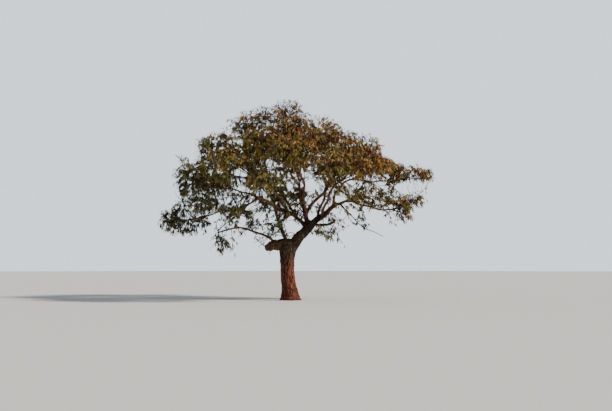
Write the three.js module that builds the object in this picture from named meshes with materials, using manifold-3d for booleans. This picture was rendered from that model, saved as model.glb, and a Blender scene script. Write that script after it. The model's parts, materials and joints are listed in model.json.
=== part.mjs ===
// A broad, open savanna acacia: a short leaning trunk with a flared foot, a fork with a broken stump on
// its left, crooked boughs, and drooping tufts of twigs and leaves. Millimetres, +X to the tree's right,
// +Y to its back, +Z up. The origin is in the middle of the flat cut under the trunk, at ground level.
import * as THREE from "three";
import { mergeVertices } from "three/addons/utils/BufferGeometryUtils.js";
import Module from "manifold-3d";

const wasm = await Module();
wasm.setup();
const { Manifold, Mesh: SolidMesh } = wasm;

// The trunk, from its foot to the saddle of the fork.
const TRUNK_HEIGHT = 1890;
const TRUNK_LEAN = -100; // the fork stands this far to the side of the foot
const LEAN_HEIGHT = 1000; // the lean is done by here
const FOOT_RADIUS = 325;
const WAIST_RADIUS = 219;
const FORK_RADIUS = 262;
const FLARE_HEIGHT = 290;
const FORK_SWELL_FROM = 950;
const FORK_SWELL_TO = 1600;
const SHOULDER_HEIGHT = 1660; // above this the trunk's top rounds in
const SHOULDER_ROUNDING = 0.75;
const ROOT_LOBES = 4;
const ROOT_LOBE_DEPTH = 0.13;
const TRUNK_SIDES = 16;
const TRUNK_RINGS = 12;

// What all limbs share.
const LIMB_SIDES = 6;
const RING_SPACING = 300;
const FEWEST_RINGS = 3;
const MOST_RINGS = 6;
const LIMB_CROOK = 0.018; // how far a limb wanders from its bow, as a share of its length
const CROOK_TURNS = 1.6;
const SIDEWAYS_TURNS = 1.3; // the crook to the side turns this much faster
const TAPER_POWER = 0.85;
const COLLAR_SWELL = 0.22; // a limb is this much thicker where it leaves its parent
const COLLAR_LENGTH = 1.5; // times the butt's radius
const GAP = 0.3; // between two pieces that touch

// What all foliage masses share. A leaf here stands for a whole spray of real ones.
const CELL_MARGIN = 3; // from a wall between two masses
const TWIG_SIDES = 3;
const STEM_RADIUS = 21;
const STEM_TIP_RADIUS = 13;
const STEM_RINGS = 3;
const STEM_FOOT = 0.985; // share of the limb where its stems start
const STEM_REACH = 0.4; // share of the way from the middle of the space to its edge
const STEM_FORKS = [0.3, 0.4, 0.5, 0.6, 0.7, 0.8, 0.9];
const TWIG_RADIUS = 15;
const TWIG_TIP_RADIUS = 10;
const TWIG_REACH = 0.56;
const FEWEST_TWIGS = 2;
const LEAF_LENGTH = 840;
const LEAF_WIDTH = 430;
const LEAF_THICKNESS = 16;
const LEAF_BELLY = 0.55; // how far along a leaf its widest place lies
const LEAF_SIZES = [0.8, 1.2]; // times the sizes above
const SMALLEST_LEAF = 0.45;
const FULL_SIZE_SPACE = 950; // a mass whose half sizes come to less than this has smaller leaves
const LEAVES_PER_SQUARE_METRE = 3.2; // of the mass's own outer surface
const LEAF_ROOTS = [0.98, 0.8, 0.62, 0.44]; // shares of a twig's length
const LEAF_TRIES = 30;
const LEAF_EDGE = 0.97; // share of the way to the space's edge that a leaf may take up
const LEAF_AIM = { along: 0.3, outward: 0.5, random: 0.9, droop: 0.25 };
const LEAF_TILT = 0.8; // how far its flat side strays from facing outwards

// Leaves turn from olive through ochre to rust with height, and a little towards the right.
const TINT_HEIGHT = 1900;
const TINT_SIDE = 6500;
const TINT_FROM = 3500;
const OCHRE_FROM = 0.05;
const RUST_FROM = 0.62;

const UP = new THREE.Vector3(0, 0, 1);
const GOLDEN_ANGLE = Math.PI * (3 - Math.sqrt(5));

// Each limb leaves its parent at a share of the parent's length, and runs that reach over the ground and
// that rise above its start. turn is where it heads, in degrees: 0 to the right, 90 to the back, 180 to the
// left. arch bows its middle upwards, or lets it sag. radii are those of its butt and its tip.
const LIMBS = {
  stump: { from: "trunk", at: 0.95, turn: -173, reach: 640, rise: -90, arch: 60, radii: [170, 112] },
  fork_limb: { from: "trunk", at: 0.84, turn: 5, reach: 720, rise: 820, arch: 0, radii: [185, 140] },
  leader: { from: "fork_limb", at: 0.97, turn: 9, reach: 850, rise: 700, arch: 0, radii: [108, 66] },
  right_elbow: { from: "leader", at: 0.98, turn: -7, reach: 600, rise: 180, arch: 30, radii: [52, 38] },
  right_reach: { from: "right_elbow", at: 0.98, turn: -8, reach: 1290, rise: -310, arch: -90, radii: [38, 22] },
  right_fan: { from: "leader", at: 0.97, turn: 24, reach: 807, rise: 930, arch: 260, radii: [46, 28] },
  right_high: { from: "right_fan", at: 0.97, turn: -2, reach: 1540, rise: -40, arch: -70, radii: [26, 20] },
  crown_stem: { from: "fork_limb", at: 0.95, turn: -171, reach: 120, rise: 410, arch: 20, radii: [88, 66] },
  upper_right: { from: "crown_stem", at: 0.97, turn: -16, reach: 1430, rise: 1370, arch: 120, radii: [56, 34] },
  centre_high: { from: "crown_stem", at: 0.97, turn: 161, reach: 330, rise: 2130, arch: -80, radii: [38, 24] },
  left_high: { from: "fork_limb", at: 0.92, turn: -168, reach: 1700, rise: 970, arch: 120, radii: [66, 38] },
  left_drop: { from: "left_high", at: 0.98, turn: -169, reach: 480, rise: -410, arch: 20, radii: [34, 28] },
  left_far: { from: "left_drop", at: 0.97, turn: -178, reach: 1500, rise: -280, arch: 70, radii: [28, 22] },
  left_mid: { from: "left_high", at: 0.97, turn: 155, reach: 1290, rise: 370, arch: 60, radii: [32, 24] },
  left_inner: { from: "trunk", at: 0.97, turn: 145, reach: 850, rise: 2180, arch: -60, radii: [60, 32] },
  left_top: { from: "left_inner", at: 0.97, turn: -173, reach: 480, rise: 740, arch: 60, radii: [32, 24] },
  left_low: { from: "stump", at: 0.52, turn: -171, reach: 1910, rise: 380, arch: 300, radii: [42, 24] },
  right_stub: { from: "leader", at: 0.16, turn: -16, reach: 740, rise: 70, arch: -100, radii: [50, 40] },
  bare_twig: { from: "right_elbow", at: 0.35, turn: -12, reach: 1420, rise: -1090, arch: -130, radii: [17, 7] },
  front_left: { from: "left_high", at: 0.42, turn: -113, reach: 2250, rise: 860, arch: 220, radii: [44, 26] },
  front_mid: { from: "crown_stem", at: 0.7, turn: -97, reach: 2060, rise: 1660, arch: 260, radii: [46, 26] },
  front_right: { from: "leader", at: 0.5, turn: -75, reach: 2310, rise: 980, arch: 260, radii: [46, 26] },
  back_left: { from: "left_high", at: 0.25, turn: 126, reach: 2560, rise: 1500, arch: 260, radii: [46, 26] },
  back_mid: { from: "crown_stem", at: 0.45, turn: 112, reach: 2200, rise: 2200, arch: 260, radii: [46, 26] },
  back_right: { from: "leader", at: 0.35, turn: 71, reach: 2220, rise: 1700, arch: 260, radii: [46, 26] },
};

// Each foliage mass grows from the tip of a limb. turn, reach and rise lead from that tip to the middle of
// its space, an ellipsoid with these half sizes along that way, across it, and upwards.
const MASSES = {
  elbow_mass: { on: "right_elbow", turn: -36, reach: 700, rise: 130, half: [760, 460, 330] },
  right_low_mass: { on: "right_reach", turn: 13, reach: 480, rise: 340, half: [720, 540, 380] },
  right_droop_mass: { on: "right_reach", turn: -36, reach: 500, rise: -230, half: [330, 300, 290] },
  far_right_mass: { on: "right_high", turn: -13, reach: 300, rise: 200, half: [900, 560, 390] },
  centre_mass: { on: "crown_stem", turn: 131, reach: 740, rise: 700, half: [580, 600, 520] },
  right_crown_mass: { on: "upper_right", turn: 39, reach: 710, rise: 750, half: [880, 700, 560] },
  right_front_mass: { on: "upper_right", turn: -46, reach: 1170, rise: 120, half: [640, 560, 440] },
  right_rear_mass: { on: "right_fan", turn: 59, reach: 1160, rise: 440, half: [640, 620, 460] },
  top_mass: { on: "centre_high", turn: -124, reach: 300, rise: 1070, half: [800, 700, 580] },
  top_right_mass: { on: "centre_high", turn: 40, reach: 1160, rise: 860, half: [740, 680, 480] },
  top_left_mass: { on: "left_top", turn: 130, reach: 170, rise: 1120, half: [860, 700, 560] },
  left_inner_mass: { on: "left_inner", turn: -120, reach: 200, rise: -420, half: [600, 560, 560] },
  left_crown_mass: { on: "left_top", turn: -173, reach: 1240, rise: 280, half: [760, 680, 580] },
  left_mid_mass: { on: "left_mid", turn: -174, reach: 1010, rise: 400, half: [680, 620, 640] },
  left_rear_mass: { on: "left_mid", turn: 107, reach: 1500, rise: 200, half: [640, 620, 460] },
  far_left_mass: { on: "left_far", turn: 165, reach: 510, rise: -10, half: [640, 520, 440] },
  left_front_mass: { on: "left_far", turn: -72, reach: 1130, rise: 520, half: [640, 560, 400] },
  left_low_mass: { on: "left_low", turn: -60, reach: 180, rise: -320, half: [430, 400, 400] },
  left_under_mass: { on: "left_low", turn: -58, reach: 1450, rise: 600, half: [680, 640, 380] },
  front_left_mass: { on: "front_left", turn: -147, reach: 910, rise: 120, half: [640, 600, 440] },
  front_low_left_mass: { on: "front_left", turn: -79, reach: 1120, rise: -160, half: [620, 540, 400] },
  front_high_left_mass: { on: "front_left", turn: 127, reach: 370, rise: 1000, half: [660, 580, 440] },
  front_mid_mass: { on: "front_mid", turn: -101, reach: 920, rise: 200, half: [700, 760, 500] },
  front_top_mass: { on: "front_mid", turn: 135, reach: 700, rise: 990, half: [680, 600, 420] },
  front_top_right_mass: { on: "front_mid", turn: 31, reach: 960, rise: 800, half: [680, 600, 440] },
  front_low_right_mass: { on: "front_right", turn: -109, reach: 1220, rise: 330, half: [620, 580, 400] },
  front_right_mass: { on: "front_right", turn: -54, reach: 730, rise: 260, half: [640, 600, 440] },
  back_left_mass: { on: "back_left", turn: 167, reach: 890, rise: 650, half: [680, 660, 460] },
  back_low_left_mass: { on: "back_left", turn: 91, reach: 1190, rise: 100, half: [660, 620, 440] },
  back_mid_mass: { on: "back_mid", turn: 89, reach: 410, rise: 750, half: [720, 660, 480] },
  back_right_mass: { on: "back_right", turn: 18, reach: 310, rise: 710, half: [700, 660, 460] },
  back_low_right_mass: { on: "back_right", turn: 106, reach: 1140, rise: 180, half: [660, 620, 420] },
  stub_mass: { on: "right_stub", turn: -136, reach: 180, rise: -430, half: [360, 320, 310] },
  stump_mass: { on: "stump", turn: -140, reach: 260, rise: 240, half: [310, 280, 290] },
};

const MATERIALS = {
  trunk_bark: new THREE.MeshStandardMaterial({ color: 0x6b3f2c, roughness: 0.95, metalness: 0 }),
  limb_bark: new THREE.MeshStandardMaterial({ color: 0x4a3a30, roughness: 0.92, metalness: 0 }),
  olive: new THREE.MeshStandardMaterial({ color: 0x5f6426, roughness: 0.6, metalness: 0 }),
  ochre: new THREE.MeshStandardMaterial({ color: 0x8a6a24, roughness: 0.62, metalness: 0 }),
  rust: new THREE.MeshStandardMaterial({ color: 0x94562a, roughness: 0.65, metalness: 0 }),
};

// A repeatable stream of numbers from 0 to 1.
function seeded(seed) {
  let state = seed * 0x9e3779b1;
  return () => {
    state = (state + 0x6d2b79f5) | 0;
    let mixed = Math.imul(state ^ (state >>> 15), 1 | state);
    mixed = (mixed + Math.imul(mixed ^ (mixed >>> 7), 61 | mixed)) ^ mixed;
    return ((mixed ^ (mixed >>> 14)) >>> 0) / 4294967296;
  };
}

function compass(degrees) {
  const angle = THREE.MathUtils.degToRad(degrees);
  return new THREE.Vector3(Math.cos(angle), Math.sin(angle), 0);
}

// A closed geometry as a solid for cutting and joining.
function solidOf(geometry) {
  const bare = geometry.clone();
  bare.deleteAttribute("normal");
  bare.deleteAttribute("uv");
  const merged = mergeVertices(bare, 1e-3);
  return new Manifold(
    new SolidMesh({
      numProp: 3,
      vertProperties: merged.attributes.position.array,
      triVerts: new Uint32Array(merged.index.array),
    }),
  );
}

function geometryOf(solid) {
  const { vertProperties, triVerts } = solid.getMesh();
  const geometry = new THREE.BufferGeometry();
  geometry.setAttribute("position", new THREE.BufferAttribute(vertProperties, 3));
  geometry.setIndex(new THREE.BufferAttribute(triVerts, 1));
  geometry.computeVertexNormals();
  return geometry;
}

// The biggest connected piece of a solid, without loose scraps or sealed hollows.
const mainPiece = (solid) => solid.decompose().reduce((a, b) => (b.volume() > a.volume() ? b : a));

function boxesMeet(a, b) {
  const p = a.boundingBox();
  const q = b.boundingBox();
  return [0, 1, 2].every((i) => p.min[i] <= q.max[i] && q.min[i] <= p.max[i]);
}

const cutBy = (solid, others) =>
  others.filter((other) => boxesMeet(solid, other)).reduce((rest, other) => rest.subtract(other), solid);

// The trunk's middle line leans in an S, and every ring of it lies level.
class TrunkLine extends THREE.Curve {
  getPoint(t, target = new THREE.Vector3()) {
    const z = t * TRUNK_HEIGHT;
    return target.set(TRUNK_LEAN * THREE.MathUtils.smoothstep(z, 0, LEAN_HEIGHT), 0, z);
  }
}

function trunkRadius(z, angle) {
  const flare = Math.exp(-z / FLARE_HEIGHT);
  const swell = THREE.MathUtils.smoothstep(z, FORK_SWELL_FROM, FORK_SWELL_TO);
  const round = Math.max(0, (z - SHOULDER_HEIGHT) / (TRUNK_HEIGHT - SHOULDER_HEIGHT));
  const plain = WAIST_RADIUS + (FOOT_RADIUS - WAIST_RADIUS) * flare + (FORK_RADIUS - WAIST_RADIUS) * swell;
  const lobes = 1 + ROOT_LOBE_DEPTH * flare * Math.cos(ROOT_LOBES * angle);
  return plain * lobes * Math.sqrt(1 - SHOULDER_ROUNDING * round * round);
}

function trunkSolid(line, grown) {
  const geometry = new THREE.CylinderGeometry(1, 1, 1, TRUNK_SIDES, TRUNK_RINGS);
  geometry.rotateX(Math.PI / 2);
  const place = geometry.attributes.position;
  const spot = new THREE.Vector3();
  for (let i = 0; i < place.count; i++) {
    spot.fromBufferAttribute(place, i);
    const share = spot.z + 0.5;
    const middle = line.getPoint(share);
    const angle = Math.atan2(spot.y, spot.x);
    const radius = Math.hypot(spot.x, spot.y) * (trunkRadius(middle.z, angle) + grown);
    const rim = grown * (2 * share - 1);
    place.setXYZ(i, middle.x + radius * Math.cos(angle), radius * Math.sin(angle), middle.z + rim);
  }
  return solidOf(geometry);
}

// A limb's middle line: a bow from its start to its tip, with a gentle crook that is its own.
class LimbLine extends THREE.Curve {
  constructor(start, { turn, reach, rise, arch }, index) {
    super();
    this.start = start.clone();
    const ahead = compass(turn);
    this.chord = ahead.clone().multiplyScalar(reach).addScaledVector(UP, rise);
    this.length = this.chord.length();
    this.lift = UP.clone().multiplyScalar(reach).addScaledVector(ahead, -rise).normalize();
    this.side = new THREE.Vector3().crossVectors(UP, ahead);
    this.arch = arch;
    this.phase = index * GOLDEN_ANGLE;
  }

  getPoint(t, target = new THREE.Vector3()) {
    const bow = 4 * t * (1 - t);
    const crook = LIMB_CROOK * this.length * bow;
    const swing = 2 * Math.PI * CROOK_TURNS * t + this.phase;
    return target
      .copy(this.start)
      .addScaledVector(this.chord, t)
      .addScaledVector(this.lift, this.arch * bow + crook * Math.sin(swing))
      .addScaledVector(this.side, crook * Math.cos(SIDEWAYS_TURNS * swing));
  }
}

// A tube along a line, with a radius that follows how far along it is. Grown, it is larger all over.
function tubeSolid(line, radiusAt, sides, rings, grown = 0) {
  const geometry = new THREE.CylinderGeometry(1, 1, 1, sides, rings);
  const frames = line.computeFrenetFrames(rings);
  const place = geometry.attributes.position;
  const facetGrowth = grown / Math.cos(Math.PI / sides);
  for (let i = 0; i < place.count; i++) {
    const ring = Math.round((place.getY(i) + 0.5) * rings);
    const share = ring / rings;
    const radius = radiusAt(share) + facetGrowth;
    const endwise = ring === 0 ? -grown : ring === rings ? grown : 0;
    const spot = line
      .getPointAt(share)
      .addScaledVector(frames.tangents[ring], endwise)
      .addScaledVector(frames.normals[ring], place.getX(i) * radius)
      .addScaledVector(frames.binormals[ring], -place.getZ(i) * radius);
    place.setXYZ(i, spot.x, spot.y, spot.z);
  }
  return solidOf(geometry);
}

// A place on the middle of a tube that was made in these straight steps.
function placeOn(spots, share) {
  const along = share * (spots.length - 1);
  const step = Math.min(Math.floor(along), spots.length - 2);
  return spots[step].clone().lerp(spots[step + 1], along - step);
}

function limbRadius([butt, tip], length) {
  return (share) => {
    const collar = COLLAR_SWELL * butt * Math.exp((-share * length) / (COLLAR_LENGTH * butt));
    return tip + (butt - tip) * Math.pow(1 - share, TAPER_POWER) + collar;
  };
}

// Each limb is cut clear of the ones before it, so that it butts against its parent.
function buildLimbs() {
  const line = new TrunkLine();
  const built = { trunk: { line, solid: trunkSolid(line, 0), grown: trunkSolid(line, GAP) } };
  Object.entries(LIMBS).forEach(([name, sizes], index) => {
    const parent = built[sizes.from];
    const own = new LimbLine(parent.line.getPoint(sizes.at), sizes, index);
    const radius = limbRadius(sizes.radii, own.length);
    const rings = THREE.MathUtils.clamp(Math.round(own.length / RING_SPACING), FEWEST_RINGS, MOST_RINGS);
    const earlier = Object.values(built).map((limb) => limb.grown);
    const whole = tubeSolid(own, radius, LIMB_SIDES, rings);
    built[name] = {
      line: own,
      solid: mainPiece(cutBy(whole, earlier)),
      grown: tubeSolid(own, radius, LIMB_SIDES, rings, GAP),
    };
  });
  return built;
}

// The space that one foliage mass keeps to: its ellipsoid, less what lies nearer to a neighbour.
class Space {
  constructor(tip, { turn, reach, rise, half }) {
    this.ahead = compass(turn);
    this.side = new THREE.Vector3().crossVectors(UP, this.ahead);
    this.middle = tip.clone().addScaledVector(this.ahead, reach).addScaledVector(UP, rise);
    this.half = new THREE.Vector3(...half);
    this.leafScale = Math.min(1, this.half.length() / FULL_SIZE_SPACE);
    this.walls = [];
  }

  // A direction or place measured in half sizes of the ellipsoid, and back again.
  inward(v) {
    return new THREE.Vector3(v.dot(this.ahead), v.dot(this.side), v.z).divide(this.half);
  }

  outward(v) {
    const sized = v.clone().multiply(this.half);
    return new THREE.Vector3()
      .addScaledVector(this.ahead, sized.x)
      .addScaledVector(this.side, sized.y)
      .addScaledVector(UP, sized.z);
  }

  reachAlong(direction) {
    return 1 / this.inward(direction).length();
  }

  // How far a straight way runs from a spot inside until it leaves the space.
  wayOut(spot, direction) {
    const p = this.inward(spot.clone().sub(this.middle));
    const d = this.inward(direction);
    const along = p.dot(d);
    const room = 1 - p.lengthSq();
    const edge = (Math.sqrt(along * along + d.lengthSq() * room) - along) / d.lengthSq();
    const walls = this.walls
      .filter(({ way }) => way.dot(direction) > 0)
      .map(({ way, limit }) => (limit - way.dot(spot)) / way.dot(direction));
    return Math.min(edge, ...walls);
  }

  spotTowards(direction, share) {
    return this.middle.clone().addScaledVector(direction, share * this.wayOut(this.middle, direction));
  }

  // The flat wall between two masses stands where their reaches share the way between their middles.
  wallTo(other) {
    const way = other.middle.clone().sub(this.middle);
    const distance = way.length();
    way.normalize();
    const mine = this.reachAlong(way);
    const place = (distance * mine) / (mine + other.reachAlong(way));
    this.walls.push({ way, limit: way.dot(this.middle) + place - CELL_MARGIN });
  }

  holds(spot) {
    if (this.inward(spot.clone().sub(this.middle)).length() > 1) return false;
    return this.walls.every(({ way, limit }) => way.dot(spot) < limit);
  }

  holdsSolid(solid) {
    const { vertProperties } = solid.getMesh();
    for (let i = 0; i < vertProperties.length; i += 3) {
      if (!this.holds(new THREE.Vector3().fromArray(vertProperties, i))) return false;
    }
    return true;
  }
}

// A leaf of eight faces: a flat diamond whose root is in the middle of its twig.
function leafSolid(root, direction, flatSide, size) {
  const geometry = new THREE.OctahedronGeometry(1, 0);
  const place = geometry.attributes.position;
  for (let i = 0; i < place.count; i++) {
    const along = place.getX(i) === 0 ? LEAF_BELLY : (place.getX(i) + 1) / 2;
    place.setXYZ(
      i,
      along * LEAF_LENGTH * size,
      (place.getY(i) * LEAF_WIDTH * size) / 2,
      (place.getZ(i) * LEAF_THICKNESS) / 2,
    );
  }
  const across = new THREE.Vector3().crossVectors(flatSide, direction).normalize();
  const normal = new THREE.Vector3().crossVectors(direction, across);
  const pose = new THREE.Matrix4().makeBasis(direction, across, normal).setPosition(root);
  return solidOf(geometry.applyMatrix4(pose));
}

const randomWay = (random) =>
  new THREE.Vector3(random() - 0.5, random() - 0.5, random() - 0.5).normalize();

// The stem runs on from just inside the limb's tip, bends, and ends past the middle of the space.
function growStem(limb, space) {
  const out = limb.line.getTangent(1);
  const foot = limb.line.getPoint(STEM_FOOT);
  const end = space.spotTowards(space.ahead, STEM_REACH);
  const aim = end.clone().sub(foot);
  const aside = aim.clone().addScaledVector(out, -aim.dot(out)).setLength(STEM_TIP_RADIUS / 2);
  foot.add(aside);
  const bend = foot.clone().addScaledVector(out, aim.length() / 5).addScaledVector(aim, 0.3);
  const line = new THREE.QuadraticBezierCurve3(foot, bend, end);
  const radius = (share) => THREE.MathUtils.lerp(STEM_RADIUS, STEM_TIP_RADIUS, share);
  return {
    line,
    spots: line.getSpacedPoints(STEM_RINGS),
    solid: tubeSolid(line, radius, TWIG_SIDES, STEM_RINGS),
    grown: tubeSolid(line, radius, TWIG_SIDES, STEM_RINGS, GAP),
  };
}

// Twigs end at places spread evenly round the middle. Each leaves the stem at the fork nearest to its end.
function growTwig(stem, space, k, count, random) {
  const height = 1 - (2 * k + 1) / count;
  const level = Math.sqrt(1 - height * height);
  const roll = k * GOLDEN_ANGLE + random();
  const spread = new THREE.Vector3(level * Math.cos(roll), level * Math.sin(roll), height);
  const end = space.spotTowards(space.outward(spread).normalize(), TWIG_REACH);
  const forks = STEM_FORKS.map((share) => placeOn(stem.spots, share)).filter((spot) => space.holds(spot));
  const start = forks.reduce((a, b) => (b.distanceTo(end) < a.distanceTo(end) ? b : a));
  const line = new THREE.LineCurve3(start, end);
  const radius = (share) => THREE.MathUtils.lerp(TWIG_RADIUS, TWIG_TIP_RADIUS, share);
  return { line, spots: [start, end], solid: tubeSolid(line, radius, TWIG_SIDES, 1) };
}

// A leaf points away from the middle of the mass, droops, and stops at the space's edge. Its flat side is
// turned outwards, more or less.
function growLeaf(twig, space, share, random) {
  const root = placeOn(twig.spots, share);
  if (!space.holds(root)) return null;
  const away = root.clone().sub(space.middle).normalize();
  const direction = twig.line
    .getTangent(share)
    .multiplyScalar(LEAF_AIM.along)
    .addScaledVector(away, LEAF_AIM.outward)
    .addScaledVector(randomWay(random), LEAF_AIM.random)
    .addScaledVector(UP, -LEAF_AIM.droop)
    .normalize();
  const flatSide = randomWay(random).multiplyScalar(LEAF_TILT).add(away);
  const room = (LEAF_EDGE * space.wayOut(root, direction)) / LEAF_LENGTH;
  const size = Math.min(THREE.MathUtils.lerp(...LEAF_SIZES, random()) * space.leafScale, room);
  return size < SMALLEST_LEAF * space.leafScale ? null : leafSolid(root, direction, flatSide, size);
}

// An ellipsoid's outer surface, closely, in square metres.
function surfaceOf([long, wide, deep]) {
  const power = 1.6;
  const mean = ((long * wide) ** power + (long * deep) ** power + (wide * deep) ** power) / 3;
  return (4 * Math.PI * mean ** (1 / power)) / 1e6;
}

function tintAt(place) {
  const warmth = (place.z - TINT_FROM) / TINT_HEIGHT + place.x / TINT_SIDE;
  return warmth > RUST_FROM ? "rust" : warmth > OCHRE_FROM ? "ochre" : "olive";
}

const meets = (a, b) => boxesMeet(a, b) && !a.intersect(b).isEmpty();

// Twigs first, then leaves. What would leave the space, or cross anything but what it grows on, is skipped.
function growMass(sizes, space, stem, obstacles, seed) {
  const random = seeded(seed);
  const leafCount = LEAVES_PER_SQUARE_METRE * surfaceOf(sizes.half);
  const twigCount = Math.max(FEWEST_TWIGS, Math.round(leafCount / LEAF_ROOTS.length));
  const twigs = [stem];
  const leaves = [];
  for (let k = 0; k < twigCount; k++) {
    const twig = growTwig(stem, space, k, twigCount, random);
    const others = [...obstacles, ...twigs.slice(1).map((t) => t.solid)];
    if (space.holdsSolid(twig.solid) && !others.some((o) => meets(twig.solid, o))) twigs.push(twig);
  }
  for (const twig of twigs) {
    const others = [...obstacles, ...twigs.filter((t) => t !== twig).map((t) => t.solid)];
    for (const share of LEAF_ROOTS) {
      for (let attempt = 0; attempt < LEAF_TRIES; attempt++) {
        const leaf = growLeaf(twig, space, share, random);
        if (!leaf || !space.holdsSolid(leaf)) continue;
        if (others.some((o) => meets(leaf, o)) || leaves.some((o) => meets(leaf, o))) continue;
        leaves.push(leaf);
        break;
      }
    }
  }
  return Manifold.union([...twigs.map((t) => t.solid), ...leaves]);
}

function buildMasses(limbs) {
  const names = Object.keys(MASSES);
  const spaces = names.map((name) => new Space(limbs[MASSES[name].on].line.getPoint(1), MASSES[name]));
  spaces.forEach((a) => spaces.forEach((b) => a !== b && a.wallTo(b)));
  const stems = names.map((name, i) => growStem(limbs[MASSES[name].on], spaces[i]));
  const limbHulls = Object.values(limbs).map((limb) => limb.grown);
  return names.map((name, i) => {
    const otherStems = stems.filter((s, j) => j !== i).map((s) => s.grown);
    const obstacles = [...limbHulls, ...otherStems];
    const whole = growMass(MASSES[name], spaces[i], stems[i], obstacles, i + 1);
    const earlierStems = stems.slice(0, i).map((s) => s.grown);
    const solid = mainPiece(cutBy(whole, [...limbHulls, ...earlierStems]));
    return { name, tint: tintAt(spaces[i].middle), solid };
  });
}

function namedMesh(name, solid, material) {
  const mesh = new THREE.Mesh(geometryOf(solid), material);
  mesh.name = name;
  return mesh;
}

const limbs = buildLimbs();
const tree = new THREE.Group();
for (const [name, { solid }] of Object.entries(limbs)) {
  tree.add(namedMesh(name, solid, name === "trunk" ? MATERIALS.trunk_bark : MATERIALS.limb_bark));
}
for (const { name, tint, solid } of buildMasses(limbs)) {
  tree.add(namedMesh(name, solid, MATERIALS[tint]));
}

export default tree;
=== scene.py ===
# %% [markdown]
# # A savanna acacia in its autumn leaf
# The tree has a short leaning trunk, a fork with a broken stump on its left, crooked spreading boughs, and
# tufts of drooping leaves that turn from olive to rust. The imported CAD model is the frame: it stays where it
# is, and every piece that is made here stands in the same metres, with +Z up the trunk and +X to the right.

# %% Load the frame
import json
import math
import random

import bmesh
import bpy
import numpy as np
from mathutils import Matrix, Vector, noise


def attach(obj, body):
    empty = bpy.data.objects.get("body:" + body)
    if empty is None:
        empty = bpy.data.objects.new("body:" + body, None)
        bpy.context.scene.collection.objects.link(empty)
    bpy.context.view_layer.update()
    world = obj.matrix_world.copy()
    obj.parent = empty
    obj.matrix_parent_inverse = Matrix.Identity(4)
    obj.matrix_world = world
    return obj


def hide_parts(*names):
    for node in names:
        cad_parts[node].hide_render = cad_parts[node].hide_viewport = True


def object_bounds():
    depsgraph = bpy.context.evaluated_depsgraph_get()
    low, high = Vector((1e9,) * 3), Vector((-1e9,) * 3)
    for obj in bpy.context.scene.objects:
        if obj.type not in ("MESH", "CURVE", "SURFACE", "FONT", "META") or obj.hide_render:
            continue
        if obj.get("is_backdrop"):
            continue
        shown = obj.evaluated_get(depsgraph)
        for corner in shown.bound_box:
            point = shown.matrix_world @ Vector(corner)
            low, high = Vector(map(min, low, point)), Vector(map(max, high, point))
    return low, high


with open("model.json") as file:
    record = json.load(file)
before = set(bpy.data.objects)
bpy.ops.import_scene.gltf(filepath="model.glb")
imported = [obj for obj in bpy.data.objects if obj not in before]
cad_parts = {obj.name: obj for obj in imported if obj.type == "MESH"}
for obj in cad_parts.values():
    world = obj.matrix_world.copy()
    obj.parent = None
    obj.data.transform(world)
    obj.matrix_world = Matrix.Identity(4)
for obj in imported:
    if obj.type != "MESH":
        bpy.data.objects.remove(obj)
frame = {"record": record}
CAD_LOW, CAD_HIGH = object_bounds()
UP = Vector((0, 0, 1))
GOLDEN_ANGLE = math.pi * (3 - math.sqrt(5))
print("CAD box in metres:", [round(high - low, 3) for low, high in zip(CAD_LOW, CAD_HIGH)])

# %% [markdown]
# ## The wood's middle lines
# On the real tree each bough leaves the one before it at a fork and thins towards its tip. A limb could be
# drawn by hand as a curve, but the CAD solids already follow a rule: a limb starts at a share of its
# parent's length, heads off at a compass turn, and bows between its ends. The same rule is written again
# here, so that the finished wood lies exactly over the solids that it stands for.

# %% The trunk's rule
TRUNK_HEIGHT = 1.89
TRUNK_LEAN = -0.1
LEAN_HEIGHT = 1.0
FOOT_RADIUS = 0.325
WAIST_RADIUS = 0.219
FORK_RADIUS = 0.262
FLARE_HEIGHT = 0.29
FORK_SWELL_FROM = 0.95
FORK_SWELL_TO = 1.6
SHOULDER_HEIGHT = 1.66
SHOULDER_ROUNDING = 0.75
ROOT_LOBES = 4
ROOT_LOBE_DEPTH = 0.13


def compass(degrees):
    return Vector((math.cos(math.radians(degrees)), math.sin(math.radians(degrees)), 0))


def smooth_step(value, low, high):
    share = min(max((value - low) / (high - low), 0.0), 1.0)
    return share * share * (3 - 2 * share)


def trunk_radius(z, angle):
    """The trunk's radius at a height, towards a compass angle."""
    flare = math.exp(-z / FLARE_HEIGHT)
    swell = smooth_step(z, FORK_SWELL_FROM, FORK_SWELL_TO)
    shoulder = max(0.0, (z - SHOULDER_HEIGHT) / (TRUNK_HEIGHT - SHOULDER_HEIGHT))
    plain = WAIST_RADIUS + (FOOT_RADIUS - WAIST_RADIUS) * flare + (FORK_RADIUS - WAIST_RADIUS) * swell
    lobes = 1 + ROOT_LOBE_DEPTH * flare * math.cos(ROOT_LOBES * angle)
    return plain * lobes * math.sqrt(max(0.0, 1 - SHOULDER_ROUNDING * shoulder * shoulder))


class Trunk:
    """The trunk's middle line leans in an S."""

    length = TRUNK_HEIGHT

    def point(self, share):
        z = share * TRUNK_HEIGHT
        return Vector((TRUNK_LEAN * smooth_step(z, 0, LEAN_HEIGHT), 0, z))

    def radius(self, share):
        return trunk_radius(share * TRUNK_HEIGHT, math.pi / 8)  # halfway from a root lobe to a hollow


print("Trunk:", TRUNK_HEIGHT, "m to the fork,", round(2 * trunk_radius(0.9, 0), 3), "m thick at 0.9 m")

# %% The limbs' rule
LIMB_CROOK = 0.018
CROOK_TURNS = 1.6
SIDEWAYS_TURNS = 1.3
TAPER_POWER = 0.85
COLLAR_SWELL = 0.22
COLLAR_LENGTH = 1.5

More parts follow.
